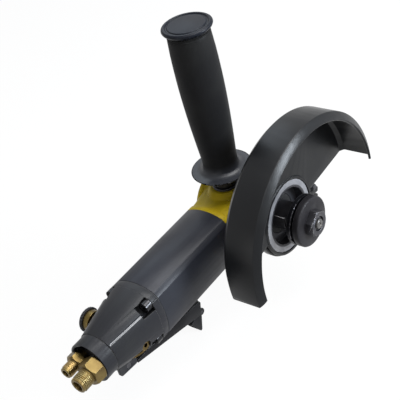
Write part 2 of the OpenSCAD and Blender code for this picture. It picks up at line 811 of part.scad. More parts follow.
module flange_nut() {
    corner = nut_af / sqrt(3);
    color(black_oxide) difference() {
        intersection() {
            hex_x(blade_out, nut_out, nut_af);
            turned_x([
                [0, blade_out], [corner + 0.1, blade_out], [corner + 0.1, nut_out - 1],
                [nut_af / 2, nut_out], [0, nut_out]
            ]);
        }
        rod_x(blade_out - over, nut_out + over, stub_r + press_gap);
    }
}

module water_nozzle() {
    color(bare_steel) turned_x([
        [0.9, stub_end - nozzle_shank_len + 0.5],
        [nozzle_shank_r, stub_end - nozzle_shank_len + 0.5],
        [nozzle_shank_r, stub_end], [tip_r, stub_end], [tip_r, tip_out - 0.7],
        [tip_r - 0.7, tip_out], [1.3, tip_out], [0.9, tip_out - 1]
    ]);
}

// Guard sheet, as radius and place along the spindle, before it is cut to its arc
guard_back = nose_face - guard_t;
guard_front = guard_back + guard_depth;
collar_in = nose_r + guard_play;
collar_out = nose_r + 1.8;
collar_back = nose_back + free_gap + 0.3;
ear_angle = 14;

function guard_profile() = [
    [guard_ring_r - 2, guard_back], [guard_r - guard_slope, guard_back],
    [guard_r, guard_back + guard_slope], [guard_r, guard_front - guard_lip_w],
    [guard_lip_r, guard_front], [guard_lip_r - 0.6 * guard_t, guard_front - 0.8 * guard_t],
    [guard_r - guard_t, guard_front - guard_lip_w - 0.4 * guard_t],
    [guard_r - guard_t, guard_back + guard_slope + 0.4 * guard_t],
    [guard_r - guard_slope - 0.4 * guard_t, guard_back + guard_t],
    [guard_ring_r - 2, guard_back + guard_t]
];

// Turned through part of a circle about X. Angles run from the top towards the hoses.
module swept_x(points, a0, a1) {
    rotate([0, 90, 0]) rotate([0, 0, 180 + a0])
        rotate_extrude(angle = a1 - a0) polygon(points);
}

module wheel_guard() {
    color(guard_black) {
        difference() {
            swept_x(guard_profile(), -guard_front_angle, guard_rear_angle);
            rotate([guard_rear_angle, 0, 0]) difference() {
                translate([guard_front - guard_corner, -over, guard_lip_r - 10])
                    cube([guard_corner + over, guard_corner + over, 20]);
                rod_z(guard_lip_r - 12, guard_lip_r + 12, 1.05 * guard_corner,
                    guard_front - guard_corner, guard_corner);
            }
        }
        difference() {
            turned_x([
                [collar_in, collar_back], [collar_out, collar_back],
                [collar_out, guard_back - 0.4], [guard_ring_r, guard_back - 0.4],
                [guard_ring_r, guard_back + guard_t + 0.6],
                [collar_in, guard_back + guard_t + 0.6]
            ]);
            rotate([-90 - ear_angle, 0, 0])
                translate([collar_back - over, -1.5, 0])
                    cube([guard_back - 0.4 - collar_back, 3, nose_r + 10]);
        }
    }
}

// Steel band with two ears that clamps the guard's collar on the nose
clamp_t = 2;
clamp_w = 6;
clamp_x0 = collar_back + 0.3;
ear_reach = 49;
ear_gap = 3;
ear_t = 3.5;
clamp_hole_r = 42;

module guard_clamp() {
    band_in = collar_out + run_gap;
    color(guard_black) rotate([-90 - ear_angle, 0, 0]) difference() {
        union() {
            ring_x(clamp_x0, clamp_x0 + clamp_w, band_in + clamp_t, band_in);
            for (s = [-1, 1]) translate([clamp_x0, s * (ear_gap + ear_t) / 2, 0]) {
                translate([0, -ear_t / 2, band_in + clamp_t / 2])
                    cube([clamp_w, ear_t, ear_reach - band_in - clamp_t / 2 - clamp_w / 2]);
                translate([clamp_w / 2, 0, ear_reach - clamp_w / 2]) rotate([90, 0, 0])
                    cylinder(h = ear_t, r = clamp_w / 2, center = true);
            }
        }
        translate([clamp_x0 - over, -ear_gap / 2, 0])
            cube([clamp_w + 2 * over, ear_gap, ear_reach + over]);
        translate([clamp_x0 + clamp_w / 2, 0, clamp_hole_r]) rotate([90, 0, 0])
            cylinder(h = 20, r = 2 + press_gap, center = true);
    }
}

module clamp_screw() {
    side = ear_gap / 2 + ear_t;
    color(black_oxide) rotate([-90 - ear_angle, 0, 0])
        translate([clamp_x0 + clamp_w / 2, 0, clamp_hole_r]) difference() {
            union() {
                rod_y(-side - 4, side, 2);
                rod_y(side, side + 4, 3.5);
            }
            hex_y(side + 2, side + 4 + over, 3);
        }
}

module clamp_nut() {
    side = ear_gap / 2 + ear_t;
    color(black_oxide) rotate([-90 - ear_angle, 0, 0])
        translate([clamp_x0 + clamp_w / 2, 0, clamp_hole_r]) difference() {
            hex_y(-side - 3.2, -side, 7);
            rod_y(-side - 5, -side + over, 2 + press_gap);
        }
}

// Motor housing, bored through for the motor and drilled for the screws and the water
module motor_housing() {
    color(black_satin) difference() {
        body_slab(housing_back, seam_y);
        rod_y(housing_back - over, seam_y + over, motor_bore_r, axis_x);
        for (sx = [-1, 1]) for (sz = [-1, 1])
            rod_y(housing_back - over, seam_y + over, screw_r + 0.2,
                axis_x + sx * screw_off, sz * screw_off);
        rod_y(housing_back - over, seam_y + over, tube_r + 0.15, axis_x - tube_off, -tube_low);
        rod_y(housing_back - over, rotor_front - 14, 3, axis_x, -(motor_bore_r + 0.6));
    }
}

module cylinder_liner() {
    liner_front = seam_y - front_plate_t;
    color(bare_steel) difference() {
        rod_y(liner_back, liner_front, liner_r, axis_x);
        rod_y(liner_back - over, liner_front + over, cylinder_bore_r, axis_x, -eccentric);
        for (i = [0 : 3])
            translate([axis_x - 1.5, liner_front - 20 - i * 9, -liner_r - over])
                cube([3, 5, liner_r - rotor_r]);
    }
}

module front_end_plate() {
    color(bare_steel)
        ring_y(seam_y - front_plate_t, seam_y, liner_r, head_bearing_in + 0.4, axis_x);
}

module rear_end_plate() {
    color(bare_steel) difference() {
        rod_y(rear_plate_back, liner_back, liner_r, axis_x);
        rod_y(rear_plate_back - over, rotor_bearing_front, rotor_bearing_out + press_gap, axis_x);
        rod_y(rear_plate_back, liner_back + over, rotor_bearing_in + 0.4, axis_x);
        for (a = [55, 90, 125])
            rod_y(rear_plate_back - over, liner_back + over, 1.3,
                axis_x + 15.4 * cos(a), 15.4 * sin(a));
    }
}

module front_rotor_bearing() {
    color(bare_steel) translate([axis_x, seam_y + head_bearing_w, 0]) rotate([90, 0, 0])
        ball_bearing(head_bearing_in, head_bearing_out, head_bearing_w, 8);
}

module rear_rotor_bearing() {
    color(bare_steel) translate([axis_x, rotor_bearing_front, 0]) rotate([90, 0, 0])
        ball_bearing(rotor_bearing_in, rotor_bearing_out, rotor_bearing_w, 7);
}

// Rotor with its two shafts, slotted for the vanes
vane_play = 0.05;
slot_foot = rotor_r - vane_depth - 0.4;

module rotor() {
    pinion_back = -pinion_hub_back;
    color(bare_steel) difference() {
        union() {
            rod_y(rotor_back, rotor_front, rotor_r, axis_x);
            rod_y(rotor_front - over, pinion_back, head_bearing_in - run_gap, axis_x);
            rod_y(pinion_back - over, pinion_front + 1, pinion_seat_r - press_gap, axis_x);
            rod_y(rear_plate_back + 0.5, rotor_back + over, rotor_bearing_in - run_gap, axis_x);
        }
        for (i = [0 : vane_count - 1])
            translate([axis_x, 0, 0]) rotate([0, i * 360 / vane_count, 0])
                translate([-vane_t / 2 - vane_play, rotor_back - over, slot_foot])
                    cube([vane_t + 2 * vane_play, rotor_front - rotor_back + 2 * over, rotor_r]);
    }
}

pinion_front = cone_point(pinion_teeth, gear_teeth, cone_len - face_w, 0)[1];

module vanes() {
    color("saddlebrown") for (i = [0 : vane_count - 1])
        translate([axis_x, 0, 0]) rotate([0, i * 360 / vane_count, 0]) intersection() {
            translate([-vane_t / 2, rotor_back + 0.1, slot_foot + 0.2])
                cube([vane_t, rotor_front - rotor_back - 1.2, rotor_r]);
            rod_y(rotor_back, rotor_front, rotor_r - 0.1);
        }
}

module bevel_pinion() {
    small = cone_len - face_w + 0.5;
    face = cone_point(pinion_teeth, gear_teeth, small, -dedendum - 1);
    root_in = cone_point(pinion_teeth, gear_teeth, small, -dedendum - 0.3);
    root_out = cone_point(pinion_teeth, gear_teeth, cone_len - 0.5, -dedendum - 0.3);
    color(bare_steel) translate([axis_x, 0, 0]) rotate([-90, 0, 0]) difference() {
        union() {
            bevel_teeth(pinion_teeth, gear_teeth, 180 / pinion_teeth);
            rotate_extrude() polygon([
                [0, face[1]], face, root_in, root_out,
                [pinion_hub_r, root_out[1] - 1.2], [pinion_hub_r, -pinion_hub_back],
                [0, -pinion_hub_back]
            ]);
        }
        translate([0, 0, -pinion_hub_back - over])
            cylinder(h = pinion_hub_back + over, r = pinion_seat_r);
    }
}

// Gasket between the motor housing and the rear cover
module rear_gasket() {
    color(seal_black) difference() {
        body_slab(cover_front, housing_back, 0.3);
        rod_y(cover_front - over, housing_back + over, motor_bore_r, axis_x);
        for (sx = [-1, 1]) for (sz = [-1, 1])
            rod_y(cover_front - over, housing_back + over, screw_r + 0.2,
                axis_x + sx * screw_off, sz * screw_off);
        rod_y(cover_front - over, housing_back + over, tube_r + 0.15,
            axis_x - tube_off, -tube_low);
        rod_y(cover_front - over, housing_back + over, 3, axis_x, -(motor_bore_r + 0.6));
    }
}

// A straight round cut between two points
module cut_between(a, b, r) {
    d = b - a;
    translate(a) rotate([0, acos(d[2] / norm(d)), atan2(d[1], d[0])]) cylinder(h = norm(d), r = r);
}

// Open pocket for one long screw's head, with the groove that runs on behind it
module screw_pocket(sx, sz) {
    low = pocket_end;
    high = pocket_floor;
    translate([axis_x, 0, 0]) {
        rod_y(low, high, screw_head_r + 0.45, sx * screw_off, sz * screw_off);
        translate([sx > 0 ? 14 : -14 - 20, low, sz > 0 ? screw_off : -screw_off - 20])
            cube([20, high - low, 20]);
        translate([sx > 0 ? screw_off : -screw_off - 20, low, sz > 0 ? 11.8 : -11.8 - 20])
            cube([20, high - low, 20]);
        mirror([sx < 0 ? 1 : 0, 0, 0]) mirror([0, 0, sz < 0 ? 1 : 0])
            translate([channel_in, low + 1, channel_low])
                rotate([channel_rise, 0, -channel_lean]) translate([0, sleeve_start - low, 0])
                    cube([20, low - sleeve_start, 20]);
    }
}

// Rear cover: a taper from the housing's section to the round hose sleeve
module rear_cover() {
    color(black_satin) difference() {
        union() {
            difference() {
                union() {
                    body_slab(taper_start, cover_front);
                    hull() {
                        body_slab(taper_start - 0.5, taper_start);
                        translate([axis_x, sleeve_start + 1, 0]) rotate([90, 0, 0])
                            linear_extrude(height = 1)
                                body_outline(cover_end_r, cover_end_r, cover_end_reach);
                    }
                }
                for (sx = [-1, 1]) for (sz = [-1, 1]) screw_pocket(sx, sz);
            }
            rod_y(sleeve_end, sleeve_start + over, sleeve_r, axis_x);
            ring_y(cover_front - over, rear_plate_back, motor_bore_r - 0.2, spigot_in, axis_x);
            lever_lugs();
            rod_x(axis_x - half_w + 1.5, axis_x - 10, 7.5, knob_y, knob_z);
        }
        rod_y(sleeve_end - over, bulkhead, sleeve_r - sleeve_wall, axis_x);
        for (sx = [-1, 1]) for (sz = [-1, 1])
            rod_y(pocket_floor - over, cover_front + over, screw_r + 0.2,
                axis_x + sx * screw_off, sz * screw_off);
        rear_chambers();
    }
}

module lever_lugs() {
    for (s = [-1, 1])
        side_plate(axis_x + (s > 0 ? lug_in : -lug_out), axis_x + (s > 0 ? lug_out : -lug_in))
            polygon([
                [lug_back - 0.4, -12], [lug_back, lug_low + 1], [lug_back + 1, lug_low],
                [lug_front - 1.2, lug_low - 1.7], [lug_front, lug_low - 0.6],
                [lug_front, -12]
            ]);
}

// Passages of the rear cover: air in, throttle valve, air to the motor, exhaust, water
module rear_chambers() {
    valve_x = axis_x;
    rod_y(bulkhead - over, air_seat, air_thread_r - 0.6 + press_gap, axis_x + air_off, inlet_z);
    rod_y(bulkhead - over, valve_y - 3, 3.6, axis_x + 5, inlet_z - 1);
    rod_z(-40, valve_top + plug_h, valve_body_r + press_gap, valve_x, valve_y);
    rod_z(-40, -valve_flange_low + 7, valve_flange_r + 0.15, valve_x, valve_y);
    rod_y(valve_y, cover_front + over, 3.4, axis_x, -10.5);
    rod_y(sleeve_end - over, cover_front + over, 3.2, axis_x, 13.2);
    rod_y(bulkhead - over, bulkhead + 8, water_thread_r - 0.6 + press_gap, axis_x - water_off, inlet_z);
    rod_y(bulkhead - over, knob_y - 1, 1.8, axis_x - water_off, inlet_z);
    rod_x(axis_x - half_w - 10, axis_x - water_off + 1, 4 + press_gap, knob_y, knob_z);
    rod_y(tube_end_y, cover_front + over, tube_r + 0.15, axis_x - tube_off, -tube_low);
    cut_between([axis_x - tube_off, tube_end_y + 1, -tube_low],
        [axis_x - 13, knob_y + 1, knob_z - 2], 1.4);
    rod_x(axis_x - lug_out - over, axis_x + lug_out + over, pivot_r + press_gap, pivot_y, pivot_z);
    translate([axis_x + ear_in, valve_y - ear_r - 2, -2 * half_h])
        cube([half_w, ear_r + 4.5, 2 * half_h + ear_roof]);
    rod_x(axis_x + 3, axis_x + half_w + over, port_r + press_gap, valve_y + port_dy, port_z);
}

// Ear of the throttle valve's flange in a notch of the cover, and the side port over it
ear_r = 13;
ear_in = lug_out + 0.3;
ear_top = -18;
ear_roof = -10.9;
port_dy = -1;
port_r = 3.9;
port_z = -9.8;
port_end = 18.4;

module body_screws() {
    color(black_oxide) for (sx = [-1, 1]) for (sz = [-1, 1])
        translate([axis_x + sx * screw_off, 0, sz * screw_off]) difference() {
            union() {
                rod_y(pocket_floor, screw_end, screw_r);
                rod_y(pocket_floor - screw_head_h, pocket_floor, screw_head_r);
            }
            hex_y(pocket_floor - screw_head_h - over, pocket_floor - screw_head_h + 2.5, 4);
        }
}

// Air inlet: hex body, thread for the hose, and the shank screwed into the cover
module air_inlet_fitting() {
    hex_back = sleeve_end - free_gap - air_hex_len;
    color(brass) translate([axis_x + air_off, 0, inlet_z]) difference() {
        union() {
            rod_y(hex_back - air_thread_len + 1, hex_back + over, air_thread_r);
            translate([0, hex_back - air_thread_len + 1, 0]) rotate([90, 0, 0])
                cylinder(h = 1, r1 = air_thread_r, r2 = air_thread_r - 1);
            hex_turned_y(hex_back, sleeve_end - free_gap, air_af);
            rod_y(sleeve_end - free_gap - over, bulkhead, 6.2);
            rod_y(bulkhead - over, air_seat - 0.5, air_thread_r - 0.6);
        }
        rod_y(hex_back - air_thread_len - over, air_seat + over, 4);
    }
}

module water_inlet_fitting() {
    hex_back = sleeve_end - free_gap - water_hex_len;
    color(brass) translate([axis_x - water_off, 0, inlet_z]) difference() {
        union() {
            rod_y(hex_back - water_thread_len + 0.8, hex_back + over, water_thread_r);
            translate([0, hex_back - water_thread_len + 0.8, 0]) rotate([90, 0, 0])
                cylinder(h = 0.8, r1 = water_thread_r, r2 = water_thread_r - 0.8);
            hex_turned_y(hex_back, sleeve_end - free_gap, water_af);
            rod_y(sleeve_end - free_gap - over, bulkhead, 5);
            rod_y(bulkhead - over, bulkhead + 7.5, water_thread_r - 0.6);
        }
        rod_y(hex_back - water_thread_len - over, bulkhead + 8 + over, 2.6);
    }
}

// Cup-shaped screen pressed into the air inlet's inner end
module air_strainer() {
    color(bare_steel) translate([axis_x + air_off, 0, inlet_z]) difference() {
        rod_y(air_seat - 7, air_seat, 4 - run_gap);
        rod_y(air_seat - 7 - over, air_seat - 0.8, 3.4);
        for (a = [0 : 60 : 300])
            rod_y(air_seat - 2, air_seat + over, 0.5, 2 * cos(a), 2 * sin(a));
    }
}

// Felt plug in the exhaust passage
module exhaust_silencer() {
    color("dimgray") rod_y(bulkhead, bulkhead + 14, 3.2 - run_gap, axis_x, 13.2);
}

// Throttle valve body: a brass bush with its flange below, an upper chamber and a seat
module throttle_valve_body() {
    flange_top = -valve_flange_low + 7;
    color(brass) translate([axis_x, valve_y, 0]) difference() {
        union() {
            rod_z(-valve_flange_low, flange_top - run_gap, valve_flange_r);
            rod_z(-valve_flange_low, valve_top, valve_body_r);
            intersection() {
                rod_z(ear_top - 1.6, ear_top, ear_r);
                translate([ear_in + 0.3, -ear_r, ear_top - 3]) cube([ear_r, ear_r + 2.1, 5]);
            }
        }
        rod_z(valve_seat_z, valve_top + over, valve_bore_r);
        rod_z(-14.5, valve_seat_z + over, throat_r);
        rod_z(-valve_flange_low - over, 0, stem_r + run_gap);
        rod_y(-10, 0, 2.2, 2.5, inlet_z - 1);
        rod_y(0, 10, 2.2, 0, -10.5);
    }
}

// Brass bush that closes the throttle valve's side port
module valve_port_bush() {
    color(brass) translate([axis_x, valve_y, 0]) difference() {
        rod_x(valve_body_r + 0.5, port_end, port_r, port_dy, port_z);
        rod_x(port_end - 4, port_end + over, 1.8, port_dy, port_z);
    }
}

module throttle_valve_plug() {
    color(brass) translate([axis_x, valve_y, 0]) difference() {
        union() {
            rod_z(valve_top, valve_top + plug_h - 0.2, valve_body_r - 0.1);
            rod_z(valve_top - 2, valve_top + 1, valve_bore_r - run_gap);
        }
        rod_z(valve_top + plug_h - 2, valve_top + plug_h + over, 2.4);
    }
}

// Closing spring between the plug and the valve head
spring_wire = 0.45;
spring_r = 3;
head_top = valve_seat_z + 2.6;

module throttle_spring() {
    low = head_top + spring_wire + 0.1;
    high = valve_top - 2 - spring_wire - 0.1;
    color("silver") translate([axis_x, valve_y, low]) coil(spring_r, high - low, 4, spring_wire);
}

module valve_stem() {
    color(bare_steel) translate([axis_x, valve_y, 0]) union() {
        rod_z(stem_low, valve_seat_z + 1.4, stem_r);
        rod_z(valve_seat_z + 1.2, head_top, valve_bore_r - 0.4);
    }
}

module valve_face_seal() {
    color(seal_black) translate([axis_x, valve_y, 0]) difference() {
        rod_z(valve_seat_z + 0.05, valve_seat_z + 1.2, valve_bore_r - 0.4);
        rod_z(valve_seat_z - over, valve_seat_z + 2, stem_r + press_gap);
    }
}

// Throttle lever: a tapered channel of folded sheet with a tongue on the pivot pin.
// Its upper edge lies along the housing when the lever is fully pressed.
rest_gap = 0.45;
hub_r = 3.1;
lever_ear_r = 3;
edge_slope = tan(lever_travel);
lever_back_y = lug_front + 0.6;
lever_front_y = -lever_front;
function lever_under(y) = pivot_z - lever_drop - (y - pivot_y) * tan(lever_slope);
function lever_edge(y) = -half_h - rest_gap - (y - pivot_y) * edge_slope;

module lever_outline() {
    polygon([
        [lever_back_y, lever_under(lever_back_y)],
        [latch_y - 1, lever_under(latch_y - 1)],
        [latch_y, latch_z],
        [lever_front_y - 1.4, latch_z + 4],
        [lever_front_y, lever_edge(lever_front_y) - 2],
        [lever_front_y - 1, lever_edge(lever_front_y - 1)],
        [lever_back_y + 10, lever_edge(lever_back_y + 10)],
        [lever_back_y, lever_edge(lever_back_y) - 1.2]
    ]);
    translate([latch_y, latch_z]) circle(r = lever_ear_r);
}

// A shape drawn in the Y and Z plane, given a width along X
module side_plate(x0, x1) {
    translate([x0, 0, 0]) rotate([90, 0, 90]) linear_extrude(height = x1 - x0) children();
}

module throttle_lever() {
    color(black_satin) difference() {
        union() {
            difference() {
                side_plate(axis_x - lever_half_w, axis_x + lever_half_w) lever_outline();
                translate([0, 0, lever_t])
                    side_plate(axis_x - lever_half_w + lever_t, axis_x + lever_half_w - lever_t)
                        polygon([
                            [lever_back_y + 1.6, lever_under(lever_back_y + 1.6)],
                            [lever_front_y + 6, lever_under(lever_front_y + 6)],
                            [lever_front_y + 6, 0], [lever_back_y + 1.6, 0]
                        ]);
            }
            rod_x(axis_x - tongue_half_w, axis_x + tongue_half_w, hub_r, pivot_y, pivot_z);
            side_plate(axis_x - tongue_half_w, axis_x + tongue_half_w) polygon([
                [pivot_y, pivot_z - hub_r], [lever_back_y, lever_under(lever_back_y)],
                [lever_back_y + 1, lever_under(lever_back_y + 1)],
                [lever_back_y + 1, lever_edge(lever_back_y + 1) - 2],
                [pivot_y + 2.6, pivot_z - 1.6], [pivot_y, pivot_z]
            ]);
            rod_z(lever_under(valve_y) + 0.5, stem_low - free_gap, 3, axis_x, valve_y);
        }
        rod_x(axis_x - 20, axis_x + 20, pivot_r + run_gap, pivot_y, pivot_z);
        rod_x(axis_x - 20, axis_x + 20, latch_pin_r + press_gap, latch_y, latch_z);
        translate([axis_x - lever_half_w + lever_t, latch_y - 15, latch_z - 12])
            cube([2 * (lever_half_w - lever_t), 30, 15]);
    }
}

module lever_pin() {
    color(bare_steel) rod_x(axis_x - lug_out + 0.2, axis_x + lug_out - 0.2, pivot_r,
        pivot_y, pivot_z);
}

// Safety latch: a toe that points at the housing and a finger tab below the lever
latch_boss_r = 2.9;
latch_toe = 11;

module latch_side() {
    polygon([
        [latch_y - 2, latch_z - 1], [latch_y - 12.5, latch_z - 4], [latch_y - 12, latch_z - 5.2],
        [latch_y - 4.2, latch_z - latch_tab], [latch_y - 2.6, latch_z - latch_tab + 0.6],
        [latch_y + 2.2, latch_z - 1]
    ]);
    translate([latch_y, latch_z]) circle(r = latch_boss_r);
    polygon([
        [latch_y - 1.6, latch_z], [latch_y - 0.8, latch_z + latch_toe - 1],
        [latch_y, latch_z + latch_toe], [latch_y + 1.4, latch_z + latch_toe],
        [latch_y + 2, latch_z]
    ]);
}

module safety_latch() {
    web = 1.6;
    color(black_satin) difference() {
        side_plate(axis_x - latch_half_w, axis_x + latch_half_w) latch_side();
        side_plate(axis_x - latch_half_w + web, axis_x + latch_half_w - web) polygon([
            [latch_y - 20, latch_z - 30], [latch_y - 7.8, latch_z - 30],
            [latch_y + 0.7, latch_z - 1], [latch_y + 0.3, latch_z + 14],
            [latch_y - 20, latch_z + 14]
        ]);
        rod_x(axis_x - 20, axis_x + 20, latch_pin_r + run_gap, latch_y, latch_z);
        rod_x(axis_x - latch_half_w + web, axis_x + latch_half_w - web, latch_boss_r - 0.6,
            latch_y, latch_z);
    }
}

module latch_pin() {
    color(bare_steel)
        rod_x(axis_x - lever_half_w, axis_x + lever_half_w, latch_pin_r, latch_y, latch_z);
}

// Return spring of the latch, wound round its pin between the pin's two cheeks
module latch_spring() {
    wire = 0.3;
    color("silver") translate([axis_x - 1.8, latch_y, latch_z]) rotate([0, 90, 0])
        coil(latch_pin_r + 0.4 + wire, 3.6, 3, wire);
}

// Water valve: brass body screwed into the cover's left side, with its seat inside
valve_in = axis_x - water_off - 2;
boss_face = axis_x - half_w + 1.5;
collar_x = boss_face - 2;
knob_in = collar_x - 0.4;
nose_end = knob_in - 3;
needle_r = 2.2;
square = 3;
knob_out = axis_x - knob_reach;
knob_drum_out = knob_out + 3;

module water_valve_body() {
    color(brass) difference() {
        union() {
            rod_x(boss_face - over, valve_in, 4, knob_y, knob_z);
            hex_x(collar_x, boss_face, 11, knob_y, knob_z);
            rod_x(nose_end, boss_face, 3.6, knob_y, knob_z);
        }
        rod_x(nose_end - over, valve_in - 1.6, needle_r + run_gap, knob_y, knob_z);
        rod_x(valve_in - 3, valve_in + over, 1, knob_y, knob_z);
        translate([axis_x - 13, knob_y, knob_z]) rotate([-90, 0, 0]) cylinder(h = 8, r = 1.2);
        ring_x(nose_end + 0.5, nose_end + 1.4, 5, 3.1, knob_y, knob_z);
    }
}

// Clip that keeps the knob on the valve body
module knob_circlip() {
    color(black_oxide) difference() {
        ring_x(nose_end + 0.5 + press_gap, nose_end + 1.4 - press_gap, 4.6, 3.1 + press_gap,
            knob_y, knob_z);
        translate([nose_end, knob_y - 1.2, knob_z - 6]) cube([3, 2.4, 6]);
    }
}

module water_knob() {
    color(brass) difference() {
        rod_x(knob_drum_out, knob_in, knob_r, knob_y, knob_z);
        rod_x(nose_end - 0.4, knob_in + over, 3.6 + run_gap, knob_y, knob_z);
        rod_x(nose_end - 0.4, nose_end + 1.7, 5.2, knob_y, knob_z);
        translate([knob_drum_out - over, knob_y, knob_z])
            translate([0, -square / 2 - 0.08, -square / 2 - 0.08])
                cube([8, square + 0.16, square + 0.16]);
    }
}

module knob_cap() {
    color(black_satin) translate([0, knob_y, knob_z]) difference() {
        turned_x([
            [0, knob_out], [knob_cap_r - 1.2, knob_out], [knob_cap_r, knob_out + 1.2],
            [knob_cap_r, knob_drum_out], [0, knob_drum_out]
        ]);
        for (a = [0 : 15 : 345]) rotate([a, 0, 0])
            rod_x(knob_out - over, knob_drum_out + over, 0.6, 0, knob_cap_r + 0.2);
    }
}

module water_needle() {
    out = knob_drum_out + needle_travel + 0.4;
    shoulder = nose_end + needle_travel + 0.4;
    color(bare_steel) translate([0, knob_y, knob_z]) union() {
        turned_x([
            [0, valve_in - 0.9], [0.3, valve_in - 0.9], [1.1, valve_in - 1.9],
            [1.1, valve_in - 5], [needle_r, valve_in - 6], [needle_r, shoulder], [0, shoulder]
        ]);
        translate([out, -square / 2, -square / 2])
            cube([shoulder + 1 - out, square, square]);
    }
}

module water_tube() {
    color(bare_steel) ring_y(tube_end_y + 1, seam_y + 4.5, tube_r, tube_r - 0.6,
        axis_x - tube_off, -tube_low);
}

// Grip with its hand flange, hollow for the stud
module handle_grip() {
    z0 = flange_under;
    color(grip_black) turned_z([
        [stud_r + press_gap, z0], [9, z0], [hand_flange_r - 3, z0 + 0.8],
        [hand_flange_r - 0.6, z0 + 1.8], [hand_flange_r, hand_flange_z - 0.4],
        [hand_flange_r - 0.5, hand_flange_z], [hand_flange_r - 4, hand_flange_z - 0.2],
        [grip_foot_r + 3, hand_flange_z + 0.4], [grip_foot_r + 0.8, hand_flange_z + 2],
        [grip_foot_r, hand_flange_z + 5], for (t = [0 : 0.1 : 1]) [
            grip_foot_r + (grip_r - grip_foot_r) * sin(90 * t),
            hand_flange_z + 10 + t * (cap_under - hand_flange_z - 47)
        ],
        [grip_r - 0.1, cap_under - 25], [grip_r - 0.3, cap_under - 17],
        [grip_r - 0.7, cap_under - 9], [grip_top_r, cap_under - 3.4],
        [grip_top_r - 0.5, cap_under - 3], [grip_top_r - 0.5, cap_under - 1.6],
        [grip_top_r + 0.3, cap_under - 1.2], [grip_top_r + 0.3, cap_under],
        [stud_r + press_gap, cap_under]
    ], axis_x, handle_y);
}

module handle_stud() {
    color(bare_steel) rod_z(stud_low, cap_under - 8, stud_r, axis_x, handle_y);
}

module handle_collar() {
    color(black_satin) turned_z([
        [stud_r + press_gap, washer_top], [collar_r - 0.6, washer_top],
        [collar_r, washer_top + 1], [collar_r, flange_under], [stud_r + press_gap, flange_under]
    ], axis_x, handle_y);
}

module handle_washer() {
    color(bare_steel) turned_z([
        [stud_r + press_gap, boss_top], [washer_r, boss_top], [washer_r, washer_top - 0.3],
        [washer_r - 0.3, washer_top], [stud_r + press_gap, washer_top]
    ], axis_x, handle_y);
}

// End cap with a groove in its top face and a plug in the grip's bore
module handle_cap() {
    color(cap_black) turned_z([
        [0, cap_under - plug_len], [stud_r - 0.1, cap_under - plug_len],
        [stud_r - 0.1, cap_under],
        [grip_top_r + 0.5, cap_under], [cap_r - 0.6, cap_top - 3], [cap_r, cap_top - 1.8],
        [cap_r - 0.3, cap_top - 0.7], [cap_r - 1.4, cap_top], [cap_r - 2.6, cap_top],
        [cap_r - 3.4, cap_top - 0.9], [cap_r - 4.4, cap_top - 0.9], [cap_r - 5, cap_top - 0.1],
        [0, cap_top - 0.1]
    ], axis_x, handle_y);
}

gear_head();
head_cover();
head_cover_screws();
head_cover_seal();
bearing_retainer();
spindle_seal();
front_spindle_bearing();
rear_spindle_bearing();
water_injector();
injector_seal();
spindle();
bevel_gear();
gear_key();
gear_circlip();
inner_flange();
outer_flange();
flange_nut();
water_nozzle();
wheel_guard();
guard_clamp();
clamp_screw();
clamp_nut();
motor_housing();
cylinder_liner();
front_end_plate();
rear_end_plate();
front_rotor_bearing();
rear_rotor_bearing();
rotor();
vanes();
bevel_pinion();
rear_gasket();
rear_cover();
body_screws();
air_inlet_fitting();
water_inlet_fitting();
air_strainer();
exhaust_silencer();
throttle_valve_body();
throttle_valve_plug();
valve_port_bush();
throttle_spring();
valve_stem();
valve_face_seal();
throttle_lever();
lever_pin();
safety_latch();
latch_pin();
latch_spring();
water_valve_body();
knob_circlip();
water_knob();
knob_cap();
water_needle();
water_tube();
handle_grip();
handle_stud();
handle_collar();
handle_washer();
handle_cap();
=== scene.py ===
import math

import bmesh
import bpy
from mathutils import Matrix, Vector


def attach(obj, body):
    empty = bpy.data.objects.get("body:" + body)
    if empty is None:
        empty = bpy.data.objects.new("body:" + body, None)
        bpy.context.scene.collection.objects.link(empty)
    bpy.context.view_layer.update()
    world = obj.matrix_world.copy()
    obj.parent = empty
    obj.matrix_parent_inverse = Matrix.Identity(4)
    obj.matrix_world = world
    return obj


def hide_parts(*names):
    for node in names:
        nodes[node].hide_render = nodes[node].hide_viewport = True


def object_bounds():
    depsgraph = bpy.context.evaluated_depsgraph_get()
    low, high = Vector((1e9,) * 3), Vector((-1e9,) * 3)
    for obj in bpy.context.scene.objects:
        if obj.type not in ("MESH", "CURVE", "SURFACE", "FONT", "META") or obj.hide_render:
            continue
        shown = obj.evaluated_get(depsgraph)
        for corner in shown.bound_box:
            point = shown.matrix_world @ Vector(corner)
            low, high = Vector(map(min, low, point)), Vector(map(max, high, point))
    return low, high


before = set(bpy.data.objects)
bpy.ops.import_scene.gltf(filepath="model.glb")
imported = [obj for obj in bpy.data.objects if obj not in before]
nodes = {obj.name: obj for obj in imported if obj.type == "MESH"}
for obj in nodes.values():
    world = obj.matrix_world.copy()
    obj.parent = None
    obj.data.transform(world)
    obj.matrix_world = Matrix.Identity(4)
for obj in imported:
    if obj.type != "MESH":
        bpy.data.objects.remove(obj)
cad_low, cad_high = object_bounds()
scene = bpy.context.scene
scene.view_settings.view_transform = "Standard"

# The camera stands high on the blade side, near the hose end, and looks down along the tool
# towards the gear head, as in the photograph.
camera = bpy.data.objects.new("camera", bpy.data.cameras.new("camera"))
right = Vector((0.78881, 0.57652, -0.21308))
up = Vector((-0.21542, 0.58400, 0.78264))
back = Vector((0.57565, -0.57146, 0.58487))
turn = Matrix((right, up, back)).transposed().to_4x4()
camera.matrix_world = Matrix.Translation((0.349514, -0.450615, 0.451884)) @ turn
camera.data.sensor_width = 36
camera.data.lens = 84.22
camera.data.clip_start = 0.01
scene.collection.objects.link(camera)
scene.camera = camera

# Soft studio light. A strong lamp on the blade side gives the guard its sheen, and one high
# over the head end gives the upper faces theirs. Four weak ones fill in around them.


